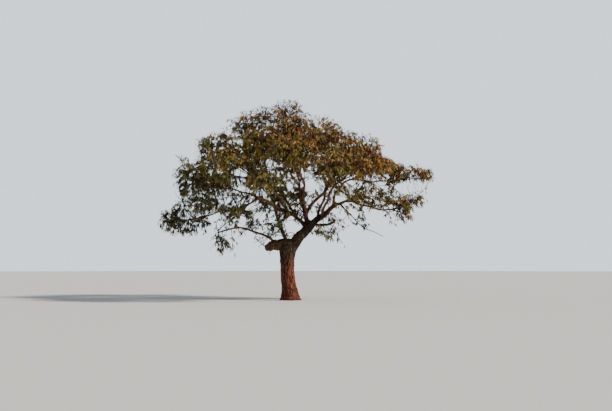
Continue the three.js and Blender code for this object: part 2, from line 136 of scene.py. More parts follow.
# limb: parent, share of the parent's length, turn in degrees, reach, rise, arch, butt radius, tip radius
LIMBS = {
    "stump": ("trunk", 0.95, -173, 0.64, -0.09, 0.06, 0.17, 0.112),
    "fork_limb": ("trunk", 0.84, 5, 0.72, 0.82, 0.0, 0.185, 0.14),
    "leader": ("fork_limb", 0.97, 9, 0.85, 0.7, 0.0, 0.108, 0.066),
    "right_elbow": ("leader", 0.98, -7, 0.6, 0.18, 0.03, 0.052, 0.038),
    "right_reach": ("right_elbow", 0.98, -8, 1.29, -0.31, -0.09, 0.038, 0.022),
    "right_fan": ("leader", 0.97, 24, 0.807, 0.93, 0.26, 0.046, 0.028),
    "right_high": ("right_fan", 0.97, -2, 1.54, -0.04, -0.07, 0.026, 0.02),
    "crown_stem": ("fork_limb", 0.95, -171, 0.12, 0.41, 0.02, 0.088, 0.066),
    "upper_right": ("crown_stem", 0.97, -16, 1.43, 1.37, 0.12, 0.056, 0.034),
    "centre_high": ("crown_stem", 0.97, 161, 0.33, 2.13, -0.08, 0.038, 0.024),
    "left_high": ("fork_limb", 0.92, -168, 1.7, 0.97, 0.12, 0.066, 0.038),
    "left_drop": ("left_high", 0.98, -169, 0.48, -0.41, 0.02, 0.034, 0.028),
    "left_far": ("left_drop", 0.97, -178, 1.5, -0.28, 0.07, 0.028, 0.022),
    "left_mid": ("left_high", 0.97, 155, 1.29, 0.37, 0.06, 0.032, 0.024),
    "left_inner": ("trunk", 0.97, 145, 0.85, 2.18, -0.06, 0.06, 0.032),
    "left_top": ("left_inner", 0.97, -173, 0.48, 0.74, 0.06, 0.032, 0.024),
    "left_low": ("stump", 0.52, -171, 1.91, 0.38, 0.3, 0.042, 0.024),
    "right_stub": ("leader", 0.16, -16, 0.74, 0.07, -0.1, 0.05, 0.04),
    "bare_twig": ("right_elbow", 0.35, -12, 1.42, -1.09, -0.13, 0.017, 0.007),
    "front_left": ("left_high", 0.42, -113, 2.25, 0.86, 0.22, 0.044, 0.026),
    "front_mid": ("crown_stem", 0.7, -97, 2.06, 1.66, 0.26, 0.046, 0.026),
    "front_right": ("leader", 0.5, -75, 2.31, 0.98, 0.26, 0.046, 0.026),
    "back_left": ("left_high", 0.25, 126, 2.56, 1.5, 0.26, 0.046, 0.026),
    "back_mid": ("crown_stem", 0.45, 112, 2.2, 2.2, 0.26, 0.046, 0.026),
    "back_right": ("leader", 0.35, 71, 2.22, 1.7, 0.26, 0.046, 0.026),
}


class Limb:
    """A limb's middle line bows from its start to its tip, with a gentle crook that is its own."""

    def __init__(self, start, turn, reach, rise, arch, butt, tip, index):
        ahead = compass(turn)
        self.start = start
        self.chord = ahead * reach + UP * rise
        self.length = self.chord.length
        self.lift = (UP * reach - ahead * rise).normalized()
        self.side = UP.cross(ahead)
        self.arch, self.butt, self.tip = arch, butt, tip
        self.phase = index * GOLDEN_ANGLE

    def point(self, share):
        bow = 4 * share * (1 - share)
        crook = LIMB_CROOK * self.length * bow
        swing = 2 * math.pi * CROOK_TURNS * share + self.phase
        return (
            self.start
            + self.chord * share
            + self.lift * (self.arch * bow + crook * math.sin(swing))
            + self.side * (crook * math.cos(SIDEWAYS_TURNS * swing))
        )

    def tangent(self, share):
        step = 0.001
        return (self.point(share) - self.point(share - step)).normalized()

    def radius(self, share):
        collar = COLLAR_SWELL * self.butt * math.exp(-share * self.length / (COLLAR_LENGTH * self.butt))
        return self.tip + (self.butt - self.tip) * (1 - share) ** TAPER_POWER + collar


limbs = {"trunk": Trunk()}
for index, (name, (parent, at, *sizes)) in enumerate(LIMBS.items()):
    limbs[name] = Limb(limbs[parent].point(at), *sizes, index)
wood_length = sum(limb.length for limb in limbs.values())
print("Limbs:", len(limbs), "with the trunk,", round(wood_length, 1), "m in all")

# %% [markdown]
# ## Wood as swept rings
# A trunk or bough is close to a round tube whose size changes along it. A curve with a bevel would make such
# a tube, but here the limbs are fused afterwards, so each is a closed mesh: a circle is extruded from ring
# to ring along the middle line, and each new ring is moved, turned and scaled to its place.

# %% Sweep a limb
RING_STEP = 0.045
FEWEST_RINGS = 6
LIMB_SIDES = 14


def frames_along(points):
    """One matrix for each point, whose Z looks along the line, with no twist from ring to ring."""
    frames = []
    side = None
    for i, point in enumerate(points):
        ahead = (points[min(i + 1, len(points) - 1)] - points[max(i - 1, 0)]).normalized()
        if side is None:
            side = ahead.orthogonal().normalized()
        side = (side - ahead * side.dot(ahead)).normalized()
        turned = Matrix((side, ahead.cross(side), ahead)).transposed().to_4x4()
        frames.append(Matrix.Translation(point) @ turned)
    return frames


def sweep_rings(bm, frames, radii, sides):
    """A closed tube in the bmesh: one circle, extruded from frame to frame."""
    ring = bmesh.ops.create_circle(bm, cap_ends=True, radius=1, segments=sides)["verts"]
    cap = ring[0].link_faces[0]
    edges = list(cap.edges)
    placed = Matrix.Identity(4)
    for i, (place, radius) in enumerate(zip(frames, radii)):
        if i:
            grown = bmesh.ops.extrude_edge_only(bm, edges=edges)["geom"]
            ring = [part for part in grown if isinstance(part, bmesh.types.BMVert)]
            in_ring = set(ring)
            edges = [part for part in grown
                     if isinstance(part, bmesh.types.BMEdge) and set(part.verts) <= in_ring]
        wanted = place @ Matrix.Scale(radius, 4)
        bmesh.ops.transform(bm, matrix=wanted @ placed.inverted(), verts=ring)
        placed = wanted
    bmesh.ops.contextual_create(bm, geom=edges)


def sweep_limb(bm, limb, sides=LIMB_SIDES):
    count = max(FEWEST_RINGS, round(limb.length / RING_STEP))
    shares = [i / count for i in range(count + 1)]
    radii = [limb.radius(s) for s in shares]
    sweep_rings(bm, frames_along([limb.point(s) for s in shares]), radii, sides)


print("Rings on the longest limb:", round(max(limb.length for limb in limbs.values()) / RING_STEP) + 1)

# %% [markdown]
# ## The trunk and its foot
# The foot spreads into four low root lobes, and the trunk swells again below the fork. Its rings lie level,
# as they do in the solid. The tube starts a little under the ground, and is cut flat at the ground line when
# its bark is done, so the cut is clean.

# %% Sweep the trunk
TRUNK_SIDES = 40
UNDER_GROUND = 0.06
TRUNK_RING_STEP = 0.03


def trunk_middle(z):
    """The trunk's middle at a height, straight on down below the ground."""
    return Vector((limbs["trunk"].point(max(z, 0) / TRUNK_HEIGHT).x, 0, z))


def sweep_trunk(bm):
    count = round((TRUNK_HEIGHT + UNDER_GROUND) / TRUNK_RING_STEP)
    heights = [TRUNK_HEIGHT * i / count - UNDER_GROUND * (1 - i / count) for i in range(count + 1)]
    before = set(bm.verts)
    sweep_rings(bm, [Matrix.Translation(trunk_middle(z)) for z in heights], [1] * len(heights), TRUNK_SIDES)
    for vert in set(bm.verts) - before:
        middle = trunk_middle(vert.co.z)
        out = vert.co - middle
        vert.co = middle + out * trunk_radius(max(vert.co.z, 0), math.atan2(out.y, out.x))


print("The trunk's middle at the fork:", [round(part, 3) for part in trunk_middle(TRUNK_HEIGHT)])

# %% [markdown]
# ## The broken stump
# On the left of the fork a thick limb broke off long ago and healed into a knobby burl. Its knobs are balls
# sunk into the stub, wound round it by the golden angle, and four short splinters stand from its end. Where
# such lumps sit is decided by a seeded rule, since only their sizes and the burl's reach show in the
# photograph.

# %% Knobs and splinters
KNOBS = 19
KNOB_RADII = (0.06, 0.115)
KNOBS_FROM = 0.42
KNOBS_OVER = 0.5
KNOB_SINK = 0.35
KNOB_SEED = 7
SPLINTERS = 4
SPLINTER_TURN = 0.5
SPLINTER_FOOT = 0.9
SPLINTER_SPREAD = 0.055
SPLINTER_LEAN = 0.35
SPLINTER_LENGTH = 0.16
SPLINTER_RADII = (0.045, 0.035, 0.018)
SPLINTER_SIDES = 8


def out_of_stump(roll):
    stump = limbs["stump"]
    return stump.side * math.cos(roll) + stump.lift * math.sin(roll)


def add_knobs(bm):
    rng = random.Random(KNOB_SEED)
    stump = limbs["stump"]
    for k in range(KNOBS):
        share = KNOBS_FROM + KNOBS_OVER * k / (KNOBS - 1)
        size = rng.uniform(*KNOB_RADII)
        height = stump.radius(share) - KNOB_SINK * size
        centre = stump.point(share) + out_of_stump(k * GOLDEN_ANGLE) * height
        bmesh.ops.create_icosphere(bm, subdivisions=2, radius=size, matrix=Matrix.Translation(centre))


def add_splinters(bm):
    stump = limbs["stump"]
    for k in range(SPLINTERS):
        out = out_of_stump(2 * math.pi * k / SPLINTERS + SPLINTER_TURN)
        root = stump.point(SPLINTER_FOOT) + out * SPLINTER_SPREAD
        way = (stump.tangent(1) + out * SPLINTER_LEAN).normalized() * SPLINTER_LENGTH
        spots = [root, root + way * 0.5, root + way]
        sweep_rings(bm, frames_along(spots), SPLINTER_RADII, SPLINTER_SIDES)


print("Stub:", round(limbs["stump"].length, 2), "m long,", KNOBS, "knobs,", SPLINTERS, "splinters")

# %% [markdown]
# ## Fusing the wood
# Where real limbs fork, the wood flows round the joint in a smooth collar. A Boolean union would leave a
# sharp crease, so the overlapping tubes go through a voxel remesh, which gives one even skin, and each vertex
# then moves onto the smooth union of the limbs' own distance fields. That rounds every fork by a named width.

# %% Distances to the limbs
LINE_STEP = 0.006
FEWEST_SAMPLES = 12
PLACES_AT_ONCE = 6000


def line_samples(limb):
    count = max(FEWEST_SAMPLES, round(limb.length / LINE_STEP))
    shares = np.linspace(0, 1, count + 1)
    spots = np.array([limb.point(s) for s in shares])
    radii = np.array([limb.radius(s) for s in shares])
    ways = np.gradient(spots, axis=0)
    ways /= np.linalg.norm(ways, axis=1)[:, None]
    return spots, radii, ways, shares * limb.length


def nearest_on_line(places, spots):
    """For each place: the closest sample's index and the distance to it."""
    found, gaps = [], []
    for i in range(0, len(places), PLACES_AT_ONCE):
        part = places[i : i + PLACES_AT_ONCE]
        square = (part**2).sum(1)[:, None] - 2 * part @ spots.T + (spots**2).sum(1)[None]
        best = square.argmin(1)
        found.append(best)
        gaps.append(np.sqrt(np.maximum(square[np.arange(len(part)), best], 0)))
    return np.concatenate(found), np.concatenate(gaps)


print("Samples along the stub:", len(line_samples(limbs["stump"])[0]))

# %% A field of wood
GRAIN_STRETCH = 0.13
GRAIN_SHIFT = 3.7


class WoodField:
    """How far places lie from the bark of several limbs, and how the grain runs there."""

    def __init__(self, names, places):
        self.names, self.count = names, len(places)
        self.depths, self.grains, self.radii = [], [], []
        for order, name in enumerate(names):
            spots, radii, ways, along = line_samples(limbs[name])
            near, gap = nearest_on_line(places, spots)
            out = places - spots[near]
            past = (out * ways[near]).sum(1)
            size = radii[near]
            if name == "trunk":
                around = zip(places[:, 2], out)
                size = np.array([trunk_radius(max(z, 0), math.atan2(o[1], o[0])) for z, o in around])
            chord = np.array((limbs[name].point(1) - limbs[name].point(0)).normalized())
            # Across the grain the coordinate is the offset from the middle, along it the way run.
            flat = out - past[:, None] * ways[near]
            run = np.outer((along[near] + past) * GRAIN_STRETCH, chord)
            self.depths.append(gap - size)
            self.grains.append(flat + run + GRAIN_SHIFT * (order + 1))
            self.radii.append(size)
        self.depths, self.radii = np.array(self.depths), np.array(self.radii)
        self.nearest = self.depths.argmin(0)

    def smooth_union(self, width):
        least = self.depths.min(0)
        return least - width * np.log(np.exp(-(self.depths - least) / width).sum(0))

    def of_nearest(self, values):
        return np.asarray(values)[self.nearest, np.arange(self.count)]

    def on_limb(self, name):
        """Whether this limb is the nearest one, for each place."""
        return np.array([other == name for other in self.names])[self.nearest]


beside = WoodField(["trunk"], np.array([[1.0, 0.0, 0.9]]))
print("A place 1 m to the right and 0.9 m up is", round(beside.depths[0, 0], 2), "m off the bark")

# %% [markdown]
# ## The bark's relief
# The trunk's bark is split into long plates by deep furrows that run with the grain, and the boughs carry
# the same bark in small. A bump in the material alone would leave the outline smooth, so the plates are
# real: a cell pattern, stretched along the grain, sinks the mesh between its cells, and slow lumps make the
# wood uneven. Plate width and depth grow with the limb's thickness.

# %% Plates and furrows
PLATE_SHARE = 0.19
PLATE_WIDTH = (0.02, 0.055)
PLATE_WANDER = 0.45
WANDER_WAVES = 0.7
FURROW_DEPTH = 0.062
FURROW_SHARE = 0.34
GRIT_DEPTH = 0.16
GRIT_WAVES = 2.3
LUMP_DEPTH = 0.07
LUMP_WAVES = 0.9
THINNEST_LUMPY = 0.03
BARK_SEED = 2

noise.seed_set(BARK_SEED)  # noise_vector starts from an offset of chance unless it has a seed


def bark_relief(grain, radius):
    """How far the bark stands out at a place of the grain, for a limb of this radius."""
    width = min(max(PLATE_SHARE * radius, PLATE_WIDTH[0]), PLATE_WIDTH[1])
    spot = Vector(grain) / width
    spot += PLATE_WANDER * noise.noise_vector(spot * WANDER_WAVES)
    (first, second, *_), _ = noise.voronoi(spot)
    plate = smooth_step(second - first, 0, FURROW_SHARE)
    grit = noise.noise(spot * GRIT_WAVES) * GRIT_DEPTH
    lump = noise.noise(Vector(grain) * (LUMP_WAVES / max(radius, THINNEST_LUMPY))) * LUMP_DEPTH
    return radius * (FURROW_DEPTH * (plate - 1 + grit) + lump)


print("Relief on a plate and in a furrow of the trunk:",
      [round(WAIST_RADIUS * FURROW_DEPTH * (plate - 1), 3) for plate in (1, 0)])


# %% Bark on a fused piece
FORK_ROUNDING = 0.028
MOST_ROUNDING = 0.04
ROUNDING_PASSES = 2
BURL_FROM_X = -0.24
BURL_FADE = 0.2


def vertex_rows(mesh, what):
    """The vertices' co or normal as rows of three."""
    flat = np.zeros(len(mesh.vertices) * 3)
    mesh.vertices.foreach_get(what, flat)
    return flat.reshape(-1, 3)


def move_out(mesh, places, away):
    """Each vertex moves along its normal."""
    moved = places + vertex_rows(mesh, "normal") * away[:, None]
    mesh.vertices.foreach_set("co", moved.astype(np.float32).ravel())
    mesh.update()


def keep_attribute(mesh, name, kind, part, values):
    attribute = mesh.attributes.new(name, kind, "POINT")
    attribute.data.foreach_set(part, values.astype(np.float32).ravel())


def add_bark(piece, names):
    """Round the forks, cut the relief, and keep grain and burl for the material to read."""
    mesh = piece.data
    for _ in range(ROUNDING_PASSES):
        places = vertex_rows(mesh, "co")
        field = WoodField(names, places)
        away = np.clip(-field.smooth_union(FORK_ROUNDING), -MOST_ROUNDING, MOST_ROUNDING)
        away[field.on_limb("stump") & (away < 0)] = 0  # the burl's knobs stand proud of the stub
        move_out(mesh, places, away)
    places = vertex_rows(mesh, "co")
    field = WoodField(names, places)
    grains, radii = field.of_nearest(field.grains), field.of_nearest(field.radii)
    move_out(mesh, places, np.array([bark_relief(g, r) for g, r in zip(grains, radii)]))
    burl = np.clip((BURL_FROM_X - places[:, 0]) / BURL_FADE, 0, 1) * field.on_limb("stump")
    keep_attribute(mesh, "grain", "FLOAT_VECTOR", "vector", grains)
    keep_attribute(mesh, "burl", "FLOAT", "value", burl)


print("Forks rounded by", FORK_ROUNDING, "m, each vertex by", MOST_ROUNDING, "m at most")

# %% [markdown]
# ## The wood in two pieces
# On the real tree all the wood is one. Here the trunk and the stout limbs at its fork are one piece, and the
# boughs another. Two pieces can have voxels of two sizes, so the trunk's wide furrows are cut finely enough
# and the long boughs don't take too many faces.

# %% An object from a mesh
def new_object(name, data):
    """An object at the origin, linked to the scene."""
    made = bpy.data.objects.new(name, data)
    bpy.context.scene.collection.objects.link(made)
    return made


def settle(bm):
    """Extrusions leave the faces in an order of chance. Sorted by their corners, each run gives one mesh."""
    bm.verts.index_update()
    count = len(bm.verts)

    def by_corners(face):
        first, second, *_, last = sorted(vert.index for vert in face.verts)
        return (first * count + second) * count + last

    bm.faces.sort(key=by_corners)


def mesh_piece(name, bm):
    settle(bm)
    mesh = bpy.data.meshes.new(name)
    bm.to_mesh(mesh)
    bm.free()
    return new_object(name, mesh)


def fuse(piece, voxel):
    """The piece's overlapping tubes become one even skin."""
    modifier = piece.modifiers.new("fuse", "REMESH")
    modifier.mode = "VOXEL"
    modifier.voxel_size = voxel
    graph = bpy.context.evaluated_depsgraph_get()
    fused = bpy.data.meshes.new_from_object(piece.evaluated_get(graph))
    piece.modifiers.clear()
    piece.data = fused


# %% The trunk and its fork
TRUNK_LIMBS = ["trunk", "stump", "fork_limb", "leader", "crown_stem", "left_high"]
TRUNK_VOXEL = 0.0095
STOUT_SIDES = 20

bm = bmesh.new()
sweep_trunk(bm)
add_knobs(bm)
add_splinters(bm)
for name in TRUNK_LIMBS[1:]:
    sweep_limb(bm, limbs[name], STOUT_SIDES)
trunk_piece = mesh_piece("trunk_and_fork", bm)
fuse(trunk_piece, TRUNK_VOXEL)
add_bark(trunk_piece, TRUNK_LIMBS)

# The part under the ground comes off, and the cut is closed flat.
bm = bmesh.new()
bm.from_mesh(trunk_piece.data)
everything = bm.verts[:] + bm.edges[:] + bm.faces[:]
bmesh.ops.bisect_plane(bm, geom=everything, plane_co=(0, 0, 0), plane_no=UP, clear_inner=True)
bmesh.ops.edgenet_fill(bm, edges=[edge for edge in bm.edges if edge.is_boundary])
bmesh.ops.recalc_face_normals(bm, faces=bm.faces[:])
settle(bm)
bm.to_mesh(trunk_piece.data)
bm.free()
print("Trunk and fork:", len(trunk_piece.data.polygons), "faces")

# %% The boughs
BOUGH_LIMBS = [name for name in limbs if name not in TRUNK_LIMBS and name != "bare_twig"]
BOUGH_VOXEL = 0.0113

bm = bmesh.new()
for name in BOUGH_LIMBS:
    sweep_limb(bm, limbs[name])
bough_piece = mesh_piece("boughs", bm)
fuse(bough_piece, BOUGH_VOXEL)
add_bark(bough_piece, BOUGH_LIMBS)
print("Boughs:", len(bough_piece.data.polygons), "faces")

# %% [markdown]
# ## The bare hanging twig
# On the right a leafless twig hangs from the elbow. Real twigs of this kind turn a little at each old leaf
# joint, so its middle line is the limb's own with a small seeded kink at every joint.

# %% The bare hanging twig
TWIG_SEED = 5
TWIG_JOINTS = 11
TWIG_KINK = 0.035
TWIG_SWELL = 1.25
TWIG_SIDES = 8


def random_way(rng):
    return Vector((rng.uniform(-1, 1), rng.uniform(-1, 1), rng.uniform(-1, 1))).normalized()


rng = random.Random(TWIG_SEED)
bare = limbs["bare_twig"]
joints = [k / TWIG_JOINTS for k in range(TWIG_JOINTS + 1)]
spots = [bare.point(s) + random_way(rng) * (TWIG_KINK * math.sin(math.pi * s)) for s in joints]
radii = [TWIG_SWELL * bare.radius(s) for s in joints]
bm = bmesh.new()
sweep_rings(bm, frames_along(spots), radii, TWIG_SIDES)
bmesh.ops.recalc_face_normals(bm, faces=bm.faces[:])
bare_piece = mesh_piece("bare_hanging_twig", bm)
print("Bare hanging twig:", round(bare.length, 2), "m long,", len(bare_piece.data.polygons), "faces")

# %% [markdown]
# ## Tufts at the limbs' tips
# The crown is not one cloud: it hangs in tufts, and the largest are carried by the tips of limbs. Each of
# these stands for one CAD mass, and its space is that mass's own ellipsoid, written again in metres: where
# its middle lies from the limb's tip, and its half sizes.

# %% Tufts at the limbs' tips
# mass: limb, turn in degrees, reach, rise, half sizes along that turn, across it and upwards
MASSES = {
    "elbow_mass": ("right_elbow", -36, 0.7, 0.13, (0.76, 0.46, 0.33)),
    "right_low_mass": ("right_reach", 13, 0.48, 0.34, (0.72, 0.54, 0.38)),
    "right_droop_mass": ("right_reach", -36, 0.5, -0.23, (0.33, 0.3, 0.29)),
    "far_right_mass": ("right_high", -13, 0.3, 0.2, (0.9, 0.56, 0.39)),
    "centre_mass": ("crown_stem", 131, 0.74, 0.7, (0.58, 0.6, 0.52)),
    "right_crown_mass": ("upper_right", 39, 0.71, 0.75, (0.88, 0.7, 0.56)),
    "right_front_mass": ("upper_right", -46, 1.17, 0.12, (0.64, 0.56, 0.44)),
    "right_rear_mass": ("right_fan", 59, 1.16, 0.44, (0.64, 0.62, 0.46)),
    "top_mass": ("centre_high", -124, 0.3, 1.07, (0.8, 0.7, 0.58)),
    "top_right_mass": ("centre_high", 40, 1.16, 0.86, (0.74, 0.68, 0.48)),
    "top_left_mass": ("left_top", 130, 0.17, 1.12, (0.86, 0.7, 0.56)),
    "left_inner_mass": ("left_inner", -120, 0.2, -0.42, (0.6, 0.56, 0.56)),
    "left_crown_mass": ("left_top", -173, 1.24, 0.28, (0.76, 0.68, 0.58)),
    "left_mid_mass": ("left_mid", -174, 1.01, 0.4, (0.68, 0.62, 0.64)),
    "left_rear_mass": ("left_mid", 107, 1.5, 0.2, (0.64, 0.62, 0.46)),
    "far_left_mass": ("left_far", 165, 0.51, -0.01, (0.64, 0.52, 0.44)),
    "left_front_mass": ("left_far", -72, 1.13, 0.52, (0.64, 0.56, 0.4)),
    "left_low_mass": ("left_low", -60, 0.18, -0.32, (0.43, 0.4, 0.4)),
    "left_under_mass": ("left_low", -58, 1.45, 0.6, (0.68, 0.64, 0.38)),
    "front_left_mass": ("front_left", -147, 0.91, 0.12, (0.64, 0.6, 0.44)),
    "front_low_left_mass": ("front_left", -79, 1.12, -0.16, (0.62, 0.54, 0.4)),
    "front_high_left_mass": ("front_left", 127, 0.37, 1.0, (0.66, 0.58, 0.44)),
    "front_mid_mass": ("front_mid", -101, 0.92, 0.2, (0.7, 0.76, 0.5)),
    "front_top_mass": ("front_mid", 135, 0.7, 0.99, (0.68, 0.6, 0.42)),
    "front_top_right_mass": ("front_mid", 31, 0.96, 0.8, (0.68, 0.6, 0.44)),
    "front_low_right_mass": ("front_right", -109, 1.22, 0.33, (0.62, 0.58, 0.4)),
    "front_right_mass": ("front_right", -54, 0.73, 0.26, (0.64, 0.6, 0.44)),
    "back_left_mass": ("back_left", 167, 0.89, 0.65, (0.68, 0.66, 0.46)),
    "back_low_left_mass": ("back_left", 91, 1.19, 0.1, (0.66, 0.62, 0.44)),
    "back_mid_mass": ("back_mid", 89, 0.41, 0.75, (0.72, 0.66, 0.48)),
    "back_right_mass": ("back_right", 18, 0.31, 0.71, (0.7, 0.66, 0.46)),
    "back_low_right_mass": ("back_right", 106, 1.14, 0.18, (0.66, 0.62, 0.42)),
    "stub_mass": ("right_stub", -136, 0.18, -0.43, (0.36, 0.32, 0.31)),
    "stump_mass": ("stump", -140, 0.26, 0.24, (0.31, 0.28, 0.29)),
}
print("Tufts at the limbs' tips:", len(MASSES))

# %% [markdown]
# ## Tufts beside the limbs
# A real bough also carries tufts along its length. The solids leave those out, as each solid would be a part
# of its own, so they are given here. The first ones give the crown the outline that the photograph shows.
# The others lie deep in front of the trunk and behind it, and close the crown from the sides.

# %% Tufts beside the limbs
# middle x, y, z, then the half sizes along the way from the wood, across it and upwards
SEEN_TUFTS = [
    (-0.94, 0.3, 6.1, 0.42, 0.43, 0.3), (-2.1, -0.2, 5.4, 0.33, 0.33, 0.22),
    (1.68, 0.1, 5.44, 0.42, 0.41, 0.29), (1.01, -0.8, 4.9, 0.46, 0.45, 0.33),
    (-0.77, -0.7, 4.6, 0.46, 0.49, 0.39), (-0.46, -0.4, 4.15, 0.46, 0.41, 0.26),
    (-2.92, 0.4, 4.33, 0.33, 0.37, 0.33), (-1.76, -0.6, 4.55, 0.36, 0.36, 0.26),
    (3.35, 0.2, 4.4, 0.46, 0.39, 0.18), (4.5, -0.1, 3.96, 0.2, 0.2, 0.22),
    (2.37, -0.3, 3.78, 0.33, 0.3, 0.2), (3.13, 0.3, 3.73, 0.26, 0.26, 0.2),
    (-3.47, 0.1, 3.29, 0.36, 0.43, 0.39), (-3.98, -0.2, 2.53, 0.29, 0.39, 0.39),
    (-2.87, 0.5, 2.49, 0.42, 0.36, 0.2), (-3.24, -0.2, 2.14, 0.33, 0.26, 0.13),
    (-1.05, 0.6, 2.89, 0.36, 0.36, 0.26), (-0.17, -0.3, 2.55, 0.2, 0.21, 0.29),
    (0.89, -0.3, 2.23, 0.26, 0.25, 0.13), (0.54, 0.6, 3.42, 0.33, 0.34, 0.26),
    (0.84, 0.8, 4.27, 0.33, 0.3, 0.2), (-1.41, -0.5, 3.34, 0.26, 0.3, 0.26),
    (-2.12, 0.3, 3.5, 0.26, 0.28, 0.23), (-1.26, 0.2, 2.41, 0.42, 0.34, 0.16),
    (-3.66, 0.0, 4.68, 0.14, 0.15, 0.13), (0.18, 0.0, 6.42, 0.24, 0.24, 0.18),
    (-0.74, 0.2, 6.27, 0.2, 0.21, 0.13), (3.95, 0.2, 3.15, 0.26, 0.24, 0.16),
    (-2.69, -0.8, 2.94, 0.33, 0.3, 0.2), (-0.35, 0.1, 6.4, 0.2, 0.22, 0.16),
    (3.66, -0.1, 2.75, 0.24, 0.22, 0.24), (-1.15, -0.3, 2.62, 0.36, 0.3, 0.2),
    (1.12, -0.8, 3.2, 0.26, 0.25, 0.22), (0.68, -0.2, 2.14, 0.2, 0.2, 0.15),
    (-0.3, -0.35, 2.75, 0.24, 0.22, 0.32), (-1.8, 0.2, 3.41, 0.2, 0.2, 0.2),
    (1.95, -0.4, 3.35, 0.22, 0.22, 0.22), (-0.42, -0.3, 2.2, 0.26, 0.22, 0.18),
    (2.72, 0.1, 3.12, 0.24, 0.22, 0.16),
]

# half sizes: the middles of the tufts of that size
DEEP_TUFTS = {
    (0.62, 0.5, 0.36): [(0.1, -1.45, 5.55), (0.3, 1.5, 5.6)],
    (0.5, 0.46, 0.32): [
        (-0.9, -2.2, 5.05), (1.2, -2.3, 4.95), (-0.9, 2.3, 5.1), (1.35, 2.2, 5.05),
    ],
    (0.55, 0.45, 0.34): [(0.2, -1.6, 4.55), (0.2, 1.7, 4.6)],
    (0.45, 0.42, 0.3): [(-1.3, -1.5, 4.3), (-1.3, 1.6, 4.35)],
    (0.45, 0.42, 0.28): [(1.6, -1.4, 4.25), (1.7, 1.5, 4.4)],
    (0.42, 0.4, 0.3): [(0.1, -3.0, 4.3), (0.1, 3.0, 4.5)],
    (0.5, 0.4, 0.32): [(0.0, 1.3, 5.05), (0.1, -1.2, 5.0)],
    (0.45, 0.4, 0.3): [(-1.1, 1.2, 5.3), (1.3, 1.3, 5.2), (-1.2, -1.2, 5.2)],
    (0.4, 0.35, 0.3): [(0.2, -0.6, 5.4)],
    (0.42, 0.42, 0.3): [(-2.2, -1.6, 3.9), (-2.3, 1.9, 4.2)],
    (0.42, 0.42, 0.28): [
        (2.4, -1.5, 4.6), (2.5, 1.6, 4.6), (-0.6, 1.7, 4.95), (0.5, 2.8, 4.9), (0.45, 2.1, 5.3),
        (1.9, 0.95, 4.9), (1.9, -0.75, 4.85), (-2.5, -0.9, 4.45), (-2.9, -0.8, 3.75), (-0.4, -2.2, 4.85),
        (0.6, -2.45, 5.0), (-1.9, -2.3, 4.5), (-1.9, 2.4, 4.85), (2.1, -2.1, 4.5), (-2.4, 1.2, 4.95),
        (-3.0, 0.9, 3.95),
    ],
    (0.42, 0.42, 0.24): [(3.0, 0.9, 4.5), (3.0, -0.8, 4.35)],
    (0.4, 0.4, 0.26): [
        (-1.2, -2.9, 4.2), (1.3, -3.0, 4.3), (-1.2, 3.0, 4.4), (1.2, 3.1, 4.5),
    ],
}
side_tufts = SEEN_TUFTS + [(*middle, *half) for half, middles in DEEP_TUFTS.items() for middle in middles]
print("Tufts beside the limbs:", len(side_tufts))

# %% [markdown]
# ## The room of one tuft
# On the real tree each tuft fills its own room and meets the next one at its rim. Boolean cuts could shape
# such rooms as meshes, but a room is never seen, so it is only a rule that answers questions: an ellipsoid,
# with a flat wall between any two of the tufts at limbs' tips. A stem keeps to its room. Branches and twigs
# may pass a wall and fill the creases between neighbouring ellipsoids, since the real crown is closed there,
# but none may end outside the CAD model's box, widened by a small margin.

# %% The room of one tuft
WALL_MARGIN = 0.003
MELT = 3.4
REACH_SPARE = Vector((0.245, 0.2, 0.185))
REACH_LOW, REACH_HIGH = CAD_LOW - REACH_SPARE, CAD_HIGH + REACH_SPARE


def within_reach(spot):
    return all(low < value < high for low, value, high in zip(REACH_LOW, spot, REACH_HIGH))


class Space:
    """The ellipsoid that one tuft keeps to, less what lies behind its walls."""

    def __init__(self, foot, out, middle, turn, half):
        self.foot, self.out = foot, out
        self.ahead = compass(turn)
        self.side = UP.cross(self.ahead)
        self.middle = middle
        self.half = Vector(half)
        self.walls = []

    def inward(self, offset):
        """An offset's measures in the ellipsoid's half sizes."""
        ahead, side = offset.dot(self.ahead), offset.dot(self.side)
        return Vector((ahead / self.half.x, side / self.half.y, offset.z / self.half.z))

    def outward(self, measures):
        level = self.ahead * (measures.x * self.half.x) + self.side * (measures.y * self.half.y)
        return level + UP * (measures.z * self.half.z)

    def reach_along(self, direction):
        return 1 / self.inward(direction).length

    def wall_to(self, other):
        """The wall stands where the two reaches share the way between the middles."""
        way = other.middle - self.middle
        distance = way.length
        way.normalize()
        mine = self.reach_along(way)
        limit = way.dot(self.middle) + distance * mine / (mine + other.reach_along(way)) - WALL_MARGIN
        self.walls.append((way, limit))

    def holds(self, spot):
        if self.inward(spot - self.middle).length_squared > 1:
            return False
        return all(way.dot(spot) < limit for way, limit in self.walls)

    def spot_towards(self, direction, share):
        """A spot that lies a share of the way from the middle to the rim or the first wall."""
        hits = [(limit - way.dot(self.middle)) / way.dot(direction) for way, limit in self.walls
                if way.dot(direction) > 0]
        return self.middle + direction * (share * min([self.reach_along(direction), *hits]))

    def fill_at(self, spot):
        """One on the ellipsoid's own surface, more inside, and less the further out the spot lies."""
        return math.exp(-MELT * (self.inward(spot - self.middle).length - 1))

    def in_crown(self, spot, least=1.0):
        """Whether a spot near this space lies in the crown, where neighbouring tufts melt together."""
        if not within_reach(spot):
            return False
        fill = self.fill_at(spot)
        return fill >= least or fill + sum(other.fill_at(spot) for other in self.near) >= least


print("Nothing grows outside", [[round(part, 2) for part in corner] for corner in (REACH_LOW, REACH_HIGH)])

# %% A space for every tuft
STEM_FOOT = 0.985
NO_TUFTS_ON = ("trunk", "stump", "bare_twig")
SPOTS_ON_LIMB = 20
FIRST_SPOT = 3
NEIGHBOURHOOD = 1.3


